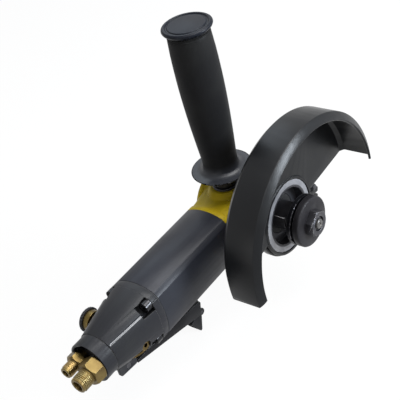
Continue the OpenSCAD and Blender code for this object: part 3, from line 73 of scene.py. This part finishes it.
def lamp(name, place, target, size, power, colour=(1, 1, 1)):
    data = bpy.data.lights.new(name, "AREA")
    data.color = colour
    data.shape = "SQUARE"
    data.size = size
    data.energy = power
    lamp_object = bpy.data.objects.new(name, data)
    place, target = Vector(place), Vector(target)
    lamp_object.matrix_world = Matrix.Translation(place) @ (
        (place - target).to_track_quat("Z", "Y").to_matrix().to_4x4())
    scene.collection.objects.link(lamp_object)


lamp("blade_side_lamp", (0.88, 0.34, 0.4), (0.01, -0.03, 0.08), 0.36, 19, (0.84, 0.92, 1))
lamp("high_lamp", (0.25, 0.34, 0.98), (-0.04, -0.12, 0.02), 0.6, 12)
lamp("overhead_lamp", (0.12, -0.05, 1.15), (-0.02, -0.05, 0.0), 0.5, 4)
lamp("sheen_lamp", (-0.72, 0.5, 0.88), (-0.05, -0.05, 0.02), 0.6, 2.6, (0.76, 0.88, 1))
lamp("camera_lamp", (0.61, -0.376, 0.745), (-0.02, -0.05, 0.02), 0.5, 3)
lamp("hose_side_lamp", (-0.2, -1.1, 0.1), (-0.05, -0.08, 0.02), 0.6, 1.2)

# The surround is a dim even light on the tool. The camera sees it as plain white, and so
# does anything glossy on the tool.


def maths(tree, operation, first, second=None, third=None, clamp=False):
    """A Math node. Each value is a number or the socket that feeds it."""
    node = tree.nodes.new("ShaderNodeMath")
    node.operation = operation
    node.use_clamp = clamp
    for slot, value in enumerate((first, second, third)):
        if isinstance(value, (int, float)):
            node.inputs[slot].default_value = value
        elif value is not None:
            tree.links.new(value, node.inputs[slot])
    return node.outputs[0]


def seen_or_reflected(tree):
    """1 for a ray from the camera, and for one that gloss or glass sends on, else 0."""
    ray = tree.nodes.new("ShaderNodeLightPath").outputs
    seen = maths(tree, "MAXIMUM", ray["Is Camera Ray"], ray["Is Glossy Ray"])
    return maths(tree, "MAXIMUM", seen, ray["Is Transmission Ray"])


surround = bpy.data.worlds.new("surround")
surround.use_nodes = True
scene.world = surround
sky = surround.node_tree
sky.nodes.clear()
dim = sky.nodes.new("ShaderNodeBackground")
dim.inputs["Color"].default_value = (1, 1, 1, 1)
dim.inputs["Strength"].default_value = 0.2
white = sky.nodes.new("ShaderNodeBackground")
white.inputs["Color"].default_value = (1, 1, 1, 1)
choose = sky.nodes.new("ShaderNodeMixShader")
sky_out = sky.nodes.new("ShaderNodeOutputWorld")
sky.links.new(seen_or_reflected(sky), choose.inputs[0])
sky.links.new(dim.outputs[0], choose.inputs[1])
sky.links.new(white.outputs[0], choose.inputs[2])
sky.links.new(choose.outputs[0], sky_out.inputs[0])

# The floor is plain white paper under the tool's lowest point, the latch. It glows nearly
# white for the camera, and its own pale face keeps the tool's soft shadow.
floor_top = cad_low[2] - 0.0005
bm = bmesh.new()
bmesh.ops.create_grid(bm, x_segments=2, y_segments=2, size=4,
    matrix=Matrix.Translation((0, 0, floor_top)))
floor_mesh = bpy.data.meshes.new("floor")
bm.to_mesh(floor_mesh)
bm.free()
floor = bpy.data.objects.new("floor", floor_mesh)
scene.collection.objects.link(floor)
paper = bpy.data.materials.new("white_paper")
paper.use_nodes = True
sheet = paper.node_tree
sheet.nodes.clear()
paper_face = sheet.nodes.new("ShaderNodeBsdfDiffuse")
paper_face.inputs["Color"].default_value = (0.7, 0.7, 0.7, 1)
glow = sheet.nodes.new("ShaderNodeEmission")
glow_share = maths(sheet, "MULTIPLY", seen_or_reflected(sheet), 0.93)
choose = sheet.nodes.new("ShaderNodeMixShader")
paper_out = sheet.nodes.new("ShaderNodeOutputMaterial")
sheet.links.new(glow_share, choose.inputs[0])
sheet.links.new(paper_face.outputs[0], choose.inputs[1])
sheet.links.new(glow.outputs[0], choose.inputs[2])
sheet.links.new(choose.outputs[0], paper_out.inputs[0])
floor_mesh.materials.append(paper)

# The gear head is an aluminium casting in mustard paint, rubbed brighter along its edges.
# It is bored right through for the spindle and carries the handle boss on top.
MM = 0.001


def shade(red, green, blue):
    """An 8-bit screen colour as the linear colour that a shader takes."""
    def line(v):
        v /= 255
        return v / 12.92 if v <= 0.04045 else ((v + 0.055) / 1.055) ** 2.4
    return (line(red), line(green), line(blue), 1)


def group(name, inputs, outputs):
    """An empty shader group with the given sockets, and its two end nodes."""
    made = bpy.data.node_groups.new(name, "ShaderNodeTree")
    kinds = {"value": "NodeSocketFloat", "vector": "NodeSocketVector", "colour": "NodeSocketColor"}
    for label, kind in inputs.items():
        made.interface.new_socket(label, in_out="INPUT", socket_type=kinds[kind])
    for label, kind in outputs.items():
        made.interface.new_socket(label, in_out="OUTPUT", socket_type=kinds[kind])
    return made, made.nodes.new("NodeGroupInput"), made.nodes.new("NodeGroupOutput")


def noise(tree, vector, scale, detail):
    node = tree.nodes.new("ShaderNodeTexNoise")
    tree.links.new(vector, node.inputs["Vector"])
    if isinstance(scale, (int, float)):
        node.inputs["Scale"].default_value = scale
    else:
        tree.links.new(scale, node.inputs["Scale"])
    node.inputs["Detail"].default_value = detail
    return node.outputs["Fac"]


def mixed(tree, mask, under, over):
    """One colour laid over another by a mask. Each is a colour or the socket that feeds it."""
    node = tree.nodes.new("ShaderNodeMix")
    node.data_type = "RGBA"
    tree.links.new(mask, node.inputs[0])
    for slot, colour in ((6, under), (7, over)):
        if isinstance(colour, tuple):
            node.inputs[slot].default_value = colour
        else:
            tree.links.new(colour, node.inputs[slot])
    return node.outputs[2]


# Two tones drifting into each other over the surface
mottle, start, end = group("mottle",
    {"Vector": "vector", "Tone": "colour", "Other Tone": "colour", "Scale": "value"},
    {"Color": "colour"})
drift = noise(mottle, start.outputs["Vector"], start.outputs["Scale"], 4)
drift = maths(mottle, "MULTIPLY_ADD", drift, 3.2, -1.1, clamp=True)
mottle.links.new(mixed(mottle, drift, start.outputs["Tone"], start.outputs["Other Tone"]),
    end.inputs["Color"])

# A mask that is high along edges, broken up as handling rubs them
edge_rub, start, end = group("edge_rub", {"Vector": "vector", "Amount": "value"},
    {"Mask": "value"})
rounded = edge_rub.nodes.new("ShaderNodeBevel")
rounded.samples = 4
rounded.inputs["Radius"].default_value = 0.0007
facing = edge_rub.nodes.new("ShaderNodeNewGeometry")
compare = edge_rub.nodes.new("ShaderNodeVectorMath")
compare.operation = "DOT_PRODUCT"
edge_rub.links.new(rounded.outputs[0], compare.inputs[0])
edge_rub.links.new(facing.outputs["Normal"], compare.inputs[1])
bend = maths(edge_rub, "SUBTRACT", 1, compare.outputs["Value"])
broken = noise(edge_rub, start.outputs["Vector"], 260, 4)
broken = maths(edge_rub, "MULTIPLY_ADD", broken, 3.4, -1.2, clamp=True)
rubbed = maths(edge_rub, "MULTIPLY", maths(edge_rub, "MULTIPLY", bend, 5), broken)
rubbed = maths(edge_rub, "MULTIPLY", rubbed, start.outputs["Amount"], clamp=True)
edge_rub.links.new(rubbed, end.inputs["Mask"])

# The fine roughness of a cast, moulded or blasted surface
grain, start, end = group("grain",
    {"Vector": "vector", "Scale": "value", "Roughness": "value", "Spread": "value"},
    {"Height": "value", "Roughness": "value"})
grain.links.new(noise(grain, start.outputs["Vector"], start.outputs["Scale"], 2),
    end.inputs["Height"])
dull = maths(grain, "SUBTRACT", noise(grain, start.outputs["Vector"], 55, 3), 0.5)
dull = maths(grain, "MULTIPLY", dull, start.outputs["Spread"])
dull = maths(grain, "ADD", dull, start.outputs["Roughness"])
grain.links.new(dull, end.inputs["Roughness"])


def bumped(tree, height, strength, distance, under=None):
    """The normal that a height gives, on top of another normal if there is one."""
    node = tree.nodes.new("ShaderNodeBump")
    node.inputs["Strength"].default_value = strength
    node.inputs["Distance"].default_value = distance
    tree.links.new(height, node.inputs["Height"])
    if under:
        tree.links.new(under, node.inputs["Normal"])
    return node.outputs[0]


def finish(name, tone, other_tone, worn, rough, metal=0.0, wear=0.6, patches=24, grains=1400,
           spread=0.2, bump=0.25, depth=0.00006, gloss=0.2, rings=None, zones=()):
    """A painted, plated, moulded or machined finish. Two tones drift in patches, the worn
    tone shows along edges, and grains give the bump. rings is the group for turned work.
    Each zone is a mask group, the tone it lays down, and the index of its gloss, or 0."""
    made = bpy.data.materials.new(name)
    made.use_nodes = True
    tree = made.node_tree
    shader = tree.nodes["Principled BSDF"]
    shader.inputs["Metallic"].default_value = metal
    shader.inputs["Specular IOR Level"].default_value = gloss
    place = tree.nodes.new("ShaderNodeTexCoord")

    def effect(kind, **values):
        node = tree.nodes.new("ShaderNodeGroup")
        node.node_tree = kind
        tree.links.new(place.outputs["Object"], node.inputs["Vector"])
        for label, value in values.items():
            node.inputs[label.replace("_", " ")].default_value = value
        return node.outputs

    tones = effect(mottle, Tone=shade(*tone), Other_Tone=shade(*other_tone), Scale=patches)
    rub = effect(edge_rub, Amount=wear)
    skin = effect(grain, Scale=grains, Roughness=rough, Spread=spread)
    colour = mixed(tree, rub["Mask"], tones["Color"], shade(*worn))
    for kind, zone_tone, zone_gloss in zones:
        mask = effect(kind)["Mask"]
        colour = mixed(tree, mask, colour, shade(*zone_tone))
        if zone_gloss:
            tree.links.new(mask, shader.inputs["Coat Weight"])
            shader.inputs["Coat Roughness"].default_value = 0.3
            shader.inputs["Coat IOR"].default_value = zone_gloss
    surface = bumped(tree, skin["Height"], bump, depth)
    if rings:
        surface = bumped(tree, effect(rings, Scale=900)["Height"], 0.3, 0.00004, surface)
    tree.links.new(colour, shader.inputs["Base Color"])
    tree.links.new(skin["Roughness"], shader.inputs["Roughness"])
    tree.links.new(surface, shader.inputs["Normal"])
    return made


def welded(node):
    """A copy of a CAD node's mesh with its doubled corners merged."""
    bm = bmesh.new()
    bm.from_mesh(nodes[node].data)
    bmesh.ops.remove_doubles(bm, verts=bm.verts, dist=0.000004)
    return bm


def stand_in(bm, name, node, body, material, width, segments, angle):
    """The finished mesh as a piece in its CAD node's place, with its sharp edges eased by a
    width in mm wherever they turn by more than the angle."""
    mesh = bpy.data.meshes.new(name)
    bm.to_mesh(mesh)
    bm.free()
    mesh.materials.append(material)
    piece = bpy.data.objects.new(name, mesh)
    scene.collection.objects.link(piece)
    edges = piece.modifiers.new("eased_edges", "BEVEL")
    edges.width = width * MM
    edges.segments = segments
    edges.limit_method = "ANGLE"
    edges.angle_limit = math.radians(angle)
    edges.use_clamp_overlap = False
    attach(piece, body)
    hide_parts(node)
    return edges


def eased(node, body, material, width, angle=28):
    """A CAD node's own shape as one smooth mesh with eased edges."""
    bm = welded(node)
    bmesh.ops.dissolve_limit(bm, angle_limit=math.radians(0.4), verts=bm.verts, edges=bm.edges,
        delimit={"NORMAL"})
    bmesh.ops.recalc_face_normals(bm, faces=bm.faces)
    for face in bm.faces:
        face.smooth = True
    edges = stand_in(bm, node + "_eased", node, body, material, width, 3, angle)
    edges.harden_normals = True
    edges.miter_outer = "MITER_ARC"


mustard = finish("mustard_paint", (178, 157, 30), (152, 130, 18), (226, 208, 118), 0.42,
    wear=0.5, patches=30, grains=900, spread=0.25, bump=0.35, depth=0.00012, gloss=0.08)
eased("gear_head", "tool_body", mustard, 0.5)

# The left cover closes the gear head opposite the blade. It is a smaller casting in the
# same paint, with a rubber seal ring behind it and four socket screws around its edge.


def coat_nodes(material, *names):
    """Puts a finish on CAD nodes that are shown as they are."""
    for name in names:
        slots = nodes[name].data.materials
        if not slots:
            slots.append(material)
        for place in range(len(slots)):
            slots[place] = material


dark_steel = finish("blackened_steel", (70, 69, 72), (56, 56, 60), (150, 150, 152), 0.38,
    metal=0.7, wear=0.5, patches=90, grains=2200, spread=0.15, bump=0.2, depth=0.00003)
black_rubber = finish("black_rubber", (34, 34, 35), (28, 28, 29), (52, 52, 53), 0.7,
    wear=0.3, patches=60, grains=1600, bump=0.3, gloss=0.3)
eased("head_cover", "tool_body", mustard, 0.5)
coat_nodes(dark_steel, "head_cover_screws")
coat_nodes(black_rubber, "head_cover_seal")

# The bearing retainer is a turned steel ring, left bare, with the guard's seat on its nose.
# It holds the front spindle bearing and its seal. The bearings are bright ground steel.


def off_spindle(tree, vector):
    """How far a point is from the spindle's axis, which runs along X."""
    flat = tree.nodes.new("ShaderNodeVectorMath")
    flat.operation = "MULTIPLY"
    flat.inputs[1].default_value = (0, 1, 1)
    tree.links.new(vector, flat.inputs[0])
    length = tree.nodes.new("ShaderNodeVectorMath")
    length.operation = "LENGTH"
    tree.links.new(flat.outputs[0], length.inputs[0])
    return length.outputs["Value"]


# Fine rings that turning leaves around the spindle's axis
turning, start, end = group("turning_marks", {"Vector": "vector", "Scale": "value"},
    {"Height": "value"})
marks = turning.nodes.new("ShaderNodeTexNoise")
marks.noise_dimensions = "1D"
marks.inputs["Detail"].default_value = 3
turning.links.new(off_spindle(turning, start.outputs["Vector"]), marks.inputs["W"])
turning.links.new(start.outputs["Scale"], marks.inputs["Scale"])
turning.links.new(marks.outputs["Fac"], end.inputs["Height"])

# A mask for the nose inside its front rim, where a darker tone is painted in as shade in the
# recess
rim_inside = 0.0252
nose, start, end = group("nose_recess_shade", {"Vector": "vector"}, {"Mask": "value"})
inward = maths(nose, "SUBTRACT", rim_inside, off_spindle(nose, start.outputs["Vector"]))
nose.links.new(maths(nose, "MULTIPLY", inward, 2500, clamp=True), end.inputs["Mask"])
# The nose zone paints shade into the recess inside the rim.
nose_steel = finish("nose_steel", (136, 136, 139), (112, 112, 116), (200, 200, 204), 0.4,
    metal=0.4, patches=70, grains=1800, bump=0.2, depth=0.00003, rings=turning,
    zones=[(nose, (46, 46, 50), 0)])
ground_steel = finish("ground_steel", (184, 184, 188), (168, 168, 173), (220, 220, 222), 0.22,
    metal=1, wear=0.3, patches=80, grains=2400, spread=0.1, bump=0.15, depth=0.00002)
eased("bearing_retainer", "tool_body", nose_steel, 0.4)
coat_nodes(ground_steel, "front_spindle_bearing", "rear_spindle_bearing")
coat_nodes(black_rubber, "spindle_seal", "injector_seal")

# Water reaches the spindle through a brass injector. A short plated nozzle in the spindle's
# end sprays it on the blade.
golden_brass = finish("golden_brass", (102, 86, 48), (84, 68, 36), (160, 148, 106), 0.42,
    metal=0.65, patches=120, grains=1800, bump=0.2, depth=0.00003)
plated_steel = finish("plated_nozzle", (92, 90, 88), (70, 69, 68), (190, 188, 182), 0.3,
    metal=0.5, wear=0.8, patches=140, grains=2000, spread=0.15, bump=0.2, depth=0.00002)
coat_nodes(golden_brass, "water_injector")
eased("water_nozzle", "drive_spindle", plated_steel, 0.2)

# The spindle is one forged and turned bar, blackened, with two spanner flats on its neck. A
# key and a circlip hold the bevel gear on it.
eased("spindle", "drive_spindle", dark_steel, 0.35)
coat_nodes(ground_steel, "gear_key", "gear_circlip", "bevel_gear")

# Two turned steel flanges clamp the blade between them, and a hexagon nut on the spindle's
# thread draws them together. The outer flange is the duller one.
dark_flange = finish("black_flange", (30, 30, 33), (24, 24, 27), (110, 109, 114), 0.3,
    metal=0.6, patches=60, grains=1500, bump=0.2, depth=0.00003, rings=turning)
flange_steel = finish("oiled_black_steel", (36, 35, 37), (27, 26, 28), (140, 138, 144), 0.36,
    wear=0.7, patches=60, grains=1500, depth=0.00003, gloss=0.08, rings=turning)
eased("inner_flange", "drive_spindle", dark_flange, 0.4)
eased("outer_flange", "drive_spindle", flange_steel, 0.5)
eased("flange_nut", "drive_spindle", dark_steel, 0.3)

# The wheel guard is pressed from steel sheet and welded to a collar that turns on the
# nose. A band with two ears, a screw and a nut clamp it where the user wants it.
guard_coat = finish("guard_black", (15, 16, 18), (10, 11, 13), (70, 73, 80), 0.33,
    wear=0.12, patches=18, grains=700, bump=0.3, depth=0.0001, gloss=0.19)
eased("wheel_guard", "guard", guard_coat, 0.5)
eased("guard_clamp", "guard", guard_coat, 0.4)
coat_nodes(dark_steel, "clamp_screw", "clamp_nut")

# The motor housing is a satin black casting with flat sides and rounded corners. The air
# motor inside turns on ball bearings between two end plates.
black_coat = finish("satin_black", (31, 33, 39), (25, 26, 32), (100, 100, 100), 0.4,
    wear=0.15, patches=22, grains=900, spread=0.25, bump=0.3, depth=0.0001, gloss=0.17)
vane_cloth = finish("vane_laminate", (124, 92, 60), (106, 76, 48), (150, 120, 84), 0.6,
    wear=0.3, patches=90, grains=1500)
eased("motor_housing", "tool_body", black_coat, 0.35, angle=9)
coat_nodes(ground_steel, "cylinder_liner", "front_end_plate", "rear_end_plate",
    "front_rotor_bearing", "rear_rotor_bearing", "rotor", "bevel_pinion")
coat_nodes(vane_cloth, "vanes")
coat_nodes(black_rubber, "rear_gasket")

# The rear cover is a second black casting with an open pocket for each long screw, lugs
# for the lever, and the sleeve that holds the two hose fittings.
motor_axis = -0.06
pocket_side, pocket_floor, pocket_front, pocket_back = 0.0138, 0.0116, -0.1366, -0.1481


def split(tree, vector):
    """A point's three coordinates."""
    node = tree.nodes.new("ShaderNodeSeparateXYZ")
    tree.links.new(vector, node.inputs[0])
    return node.outputs


def within(tree, *limits):
    """1 where every value is on its side of its limit, else 0."""
    inside, *tests = [maths(tree, side, value, limit) for value, side, limit in limits]
    for test in tests:
        inside = maths(tree, "MULTIPLY", inside, test)
    return inside


# A mask that is high inside the four screw recesses of the cover, where a near-black tone is
# painted in as shade
pocket_shade, start, end = group("screw_pocket_shade", {"Vector": "vector"}, {"Mask": "value"})
point = split(pocket_shade, start.outputs["Vector"])
across = maths(pocket_shade, "ABSOLUTE", maths(pocket_shade, "SUBTRACT", point[0], motor_axis))
pocket_shade.links.new(within(pocket_shade, (across, "GREATER_THAN", pocket_side),
    (maths(pocket_shade, "ABSOLUTE", point[2]), "GREATER_THAN", pocket_floor),
    (point[1], "LESS_THAN", pocket_front), (point[1], "GREATER_THAN", pocket_back)),
    end.inputs["Mask"])

# A mask for the sloping floors of the grooves behind the screw recesses, where a light tone is
# painted in as a highlight.
# A floor passes through the first point and faces along the second.
floor_point, floor_facing = (0.018, -0.147, 0.0146), (-0.017, -0.0925, 0.9956)
channel_side, channel_end, floor_skin = 0.0125, -0.178, 0.00035
channel_highlight, start, end = group("pocket_channel_highlight", {"Vector": "vector"}, {"Mask": "value"})
point = split(channel_highlight, start.outputs["Vector"])
across = maths(channel_highlight, "ABSOLUTE", maths(channel_highlight, "SUBTRACT", point[0], motor_axis))
above = 0
for value, origin, share in zip((across, point[1], maths(channel_highlight, "ABSOLUTE", point[2])),
        floor_point, floor_facing):
    above = maths(channel_highlight, "MULTIPLY_ADD", maths(channel_highlight, "SUBTRACT", value, origin), share,
        above)
channel_highlight.links.new(within(channel_highlight,
    (maths(channel_highlight, "ABSOLUTE", above), "LESS_THAN", floor_skin),
    (across, "GREATER_THAN", channel_side), (point[1], "LESS_THAN", floor_point[1]),
    (point[1], "GREATER_THAN", channel_end)), end.inputs["Mask"])

# The cover's first zone paints near-black shade into the four screw recesses.
cover_coat = finish("cover_black", (32, 33, 35), (25, 25, 30), (132, 131, 128), 0.38,
    wear=0.12, patches=26, grains=800, spread=0.3, bump=0.3, depth=0.0001, gloss=0.15,
    # Its second zone paints a light highlight on the groove floors behind them, under a real clear
    # coat.
    zones=[(pocket_shade, (8, 8, 9), 0), (channel_highlight, (112, 112, 114), 1.5)])
black_screw = finish("black_screw", (38, 38, 40), (30, 30, 32), (120, 120, 124), 0.26,
    metal=0.5, wear=0.5, patches=120, grains=1800)
eased("rear_cover", "tool_body", cover_coat, 0.35, angle=18)
coat_nodes(black_screw, "body_screws")

# The hose fittings are turned from brass hexagon bar. The larger takes the air hose and
# holds a strainer, and the smaller takes the water hose and feeds the water tube.
aged_brass = finish("aged_brass", (100, 86, 50), (80, 66, 38), (184, 154, 104), 0.36,
    metal=1, wear=0.7, patches=120, grains=1800, spread=0.25, depth=0.00004)
strainer_steel = finish("strainer_steel", (150, 150, 152), (126, 126, 130), (210, 210, 212),
    0.3, metal=1, wear=0.5, patches=120, grains=1800)


def threaded(node, material, x, root, crest, pitch, first, turns, steps=40):
    """A hose fitting whose nipple is cut down to the root and wound with a real thread. The
    two radii, the pitch, x and the thread's first place along Y are in mm."""
    centre = Vector((x, 0, 1.5)) * MM
    bm = welded(node)
    nipple = [v for v in bm.verts if v.co.y < (first + 0.2) * MM
        and abs((v.co - centre).xz.length - crest * MM) < 0.05 * MM]
    bmesh.ops.scale(bm, vec=(root / crest, 1, root / crest), verts=nipple,
        space=Matrix.Translation(-centre))
    bmesh.ops.recalc_face_normals(bm, faces=bm.faces)
    ridge = [bm.verts.new(centre + Vector((r, first + along, 0)) * MM) for r, along in (
        (root - 0.1, -0.02 * pitch), (crest, -0.44 * pitch), (crest, -0.56 * pitch),
        (root - 0.1, -0.98 * pitch))]
    face = bm.faces.new(ridge)
    bmesh.ops.spin(bm, geom=ridge + [face] + list(face.edges), cent=centre, axis=(0, 1, 0),
        dvec=(0, -pitch / steps * MM, 0), angle=math.tau * turns, steps=round(steps * turns))
    bmesh.ops.recalc_face_normals(bm, faces=bm.faces)
    stand_in(bm, node + "_threaded", node, "tool_body", material, 0.12, 2, 30)


threaded("air_inlet_fitting", golden_brass, -52.2, 5.85, 6.58, 1.337, -200.9, 5.6)
threaded("water_inlet_fitting", aged_brass, -68.4, 4.3, 4.86, 0.907, -197.2, 7.2)
coat_nodes(strainer_steel, "air_strainer")
coat_nodes(aged_brass, "water_tube")

# The exhaust silencer is a pad of grey felt in the motor housing, which the spent air
# leaves through.
felt = finish("grey_felt", (120, 118, 112), (98, 96, 92), (140, 138, 132), 0.9,
    wear=0.2, patches=200, grains=1100, bump=0.6, depth=0.0003)
coat_nodes(felt, "exhaust_silencer")

# The throttle valve stands in the cover's underside, in a brass body with a steel stem
# that the lever lifts against a spring.
coat_nodes(aged_brass, "throttle_valve_body", "throttle_valve_plug", "valve_port_bush")
coat_nodes(ground_steel, "throttle_spring", "valve_stem")
coat_nodes(black_rubber, "valve_face_seal")

# The lever is folded from steel sheet and hangs on a pin through the cover's lugs. The
# folding latch at its front end has to be tipped before the lever can be pressed.
lever_coat = finish("lever_black", (24, 24, 26), (18, 18, 20), (80, 80, 80), 0.42,
    patches=40, grains=1200, gloss=0.1)
eased("throttle_lever", "lever", lever_coat, 0.35)
eased("safety_latch", "latch", lever_coat, 0.35)
coat_nodes(dark_steel, "lever_pin", "latch_pin")
coat_nodes(ground_steel, "latch_spring")

# The water knob is a turned brass drum with a black moulded end, on the cover's left. It
# drives a brass needle in the water valve, and a circlip keeps it there.
knob_black = finish("knob_black", (40, 40, 42), (33, 33, 35), (70, 70, 72), 0.45,
    wear=0.4, patches=60, grains=1200, bump=0.2)
eased("water_knob", "knob", aged_brass, 0.2)
eased("knob_cap", "knob", knob_black, 0.4)
coat_nodes(aged_brass, "water_valve_body", "water_needle")
coat_nodes(ground_steel, "knob_circlip")

# The side handle is a moulded grip with a hand flange, threaded on a steel stud in the
# head's boss, with a collar and washer under it and a blue-grey cap pressed on top.

# A mask for the hand flange at the bottom of the grip, which gets a real clear coat and a lighter
# bluish tone painted in as sheen
flange_top = 0.053
flange_gloss_and_sheen, start, end = group("hand_flange_gloss_and_sheen", {"Vector": "vector"}, {"Mask": "value"})
below = maths(flange_gloss_and_sheen, "SUBTRACT", flange_top, split(flange_gloss_and_sheen, start.outputs["Vector"])[2])
flange_gloss_and_sheen.links.new(maths(flange_gloss_and_sheen, "MULTIPLY", below, 140, clamp=True), end.inputs["Mask"])
# The flange zone lays a real clear coat and a painted bluish sheen on the hand flange.
grip_black = finish("grip_black", (27, 27, 27), (21, 21, 22), (50, 50, 50), 0.55,
    wear=0.3, patches=30, grains=650, spread=0.25, bump=0.35, depth=0.0001, gloss=0.06,
    zones=[(flange_gloss_and_sheen, (38, 40, 45), 1.28)])
cap_grey = finish("cap_blue_grey", (17, 19, 26), (12, 14, 20), (120, 134, 146), 0.33,
    wear=0.5, patches=50, grains=1300, bump=0.15, gloss=0.09)
eased("handle_grip", "tool_body", grip_black, 0.7)
eased("handle_cap", "tool_body", cap_grey, 0.25)
coat_nodes(ground_steel, "handle_stud")
coat_nodes(dark_steel, "handle_collar", "handle_washer")
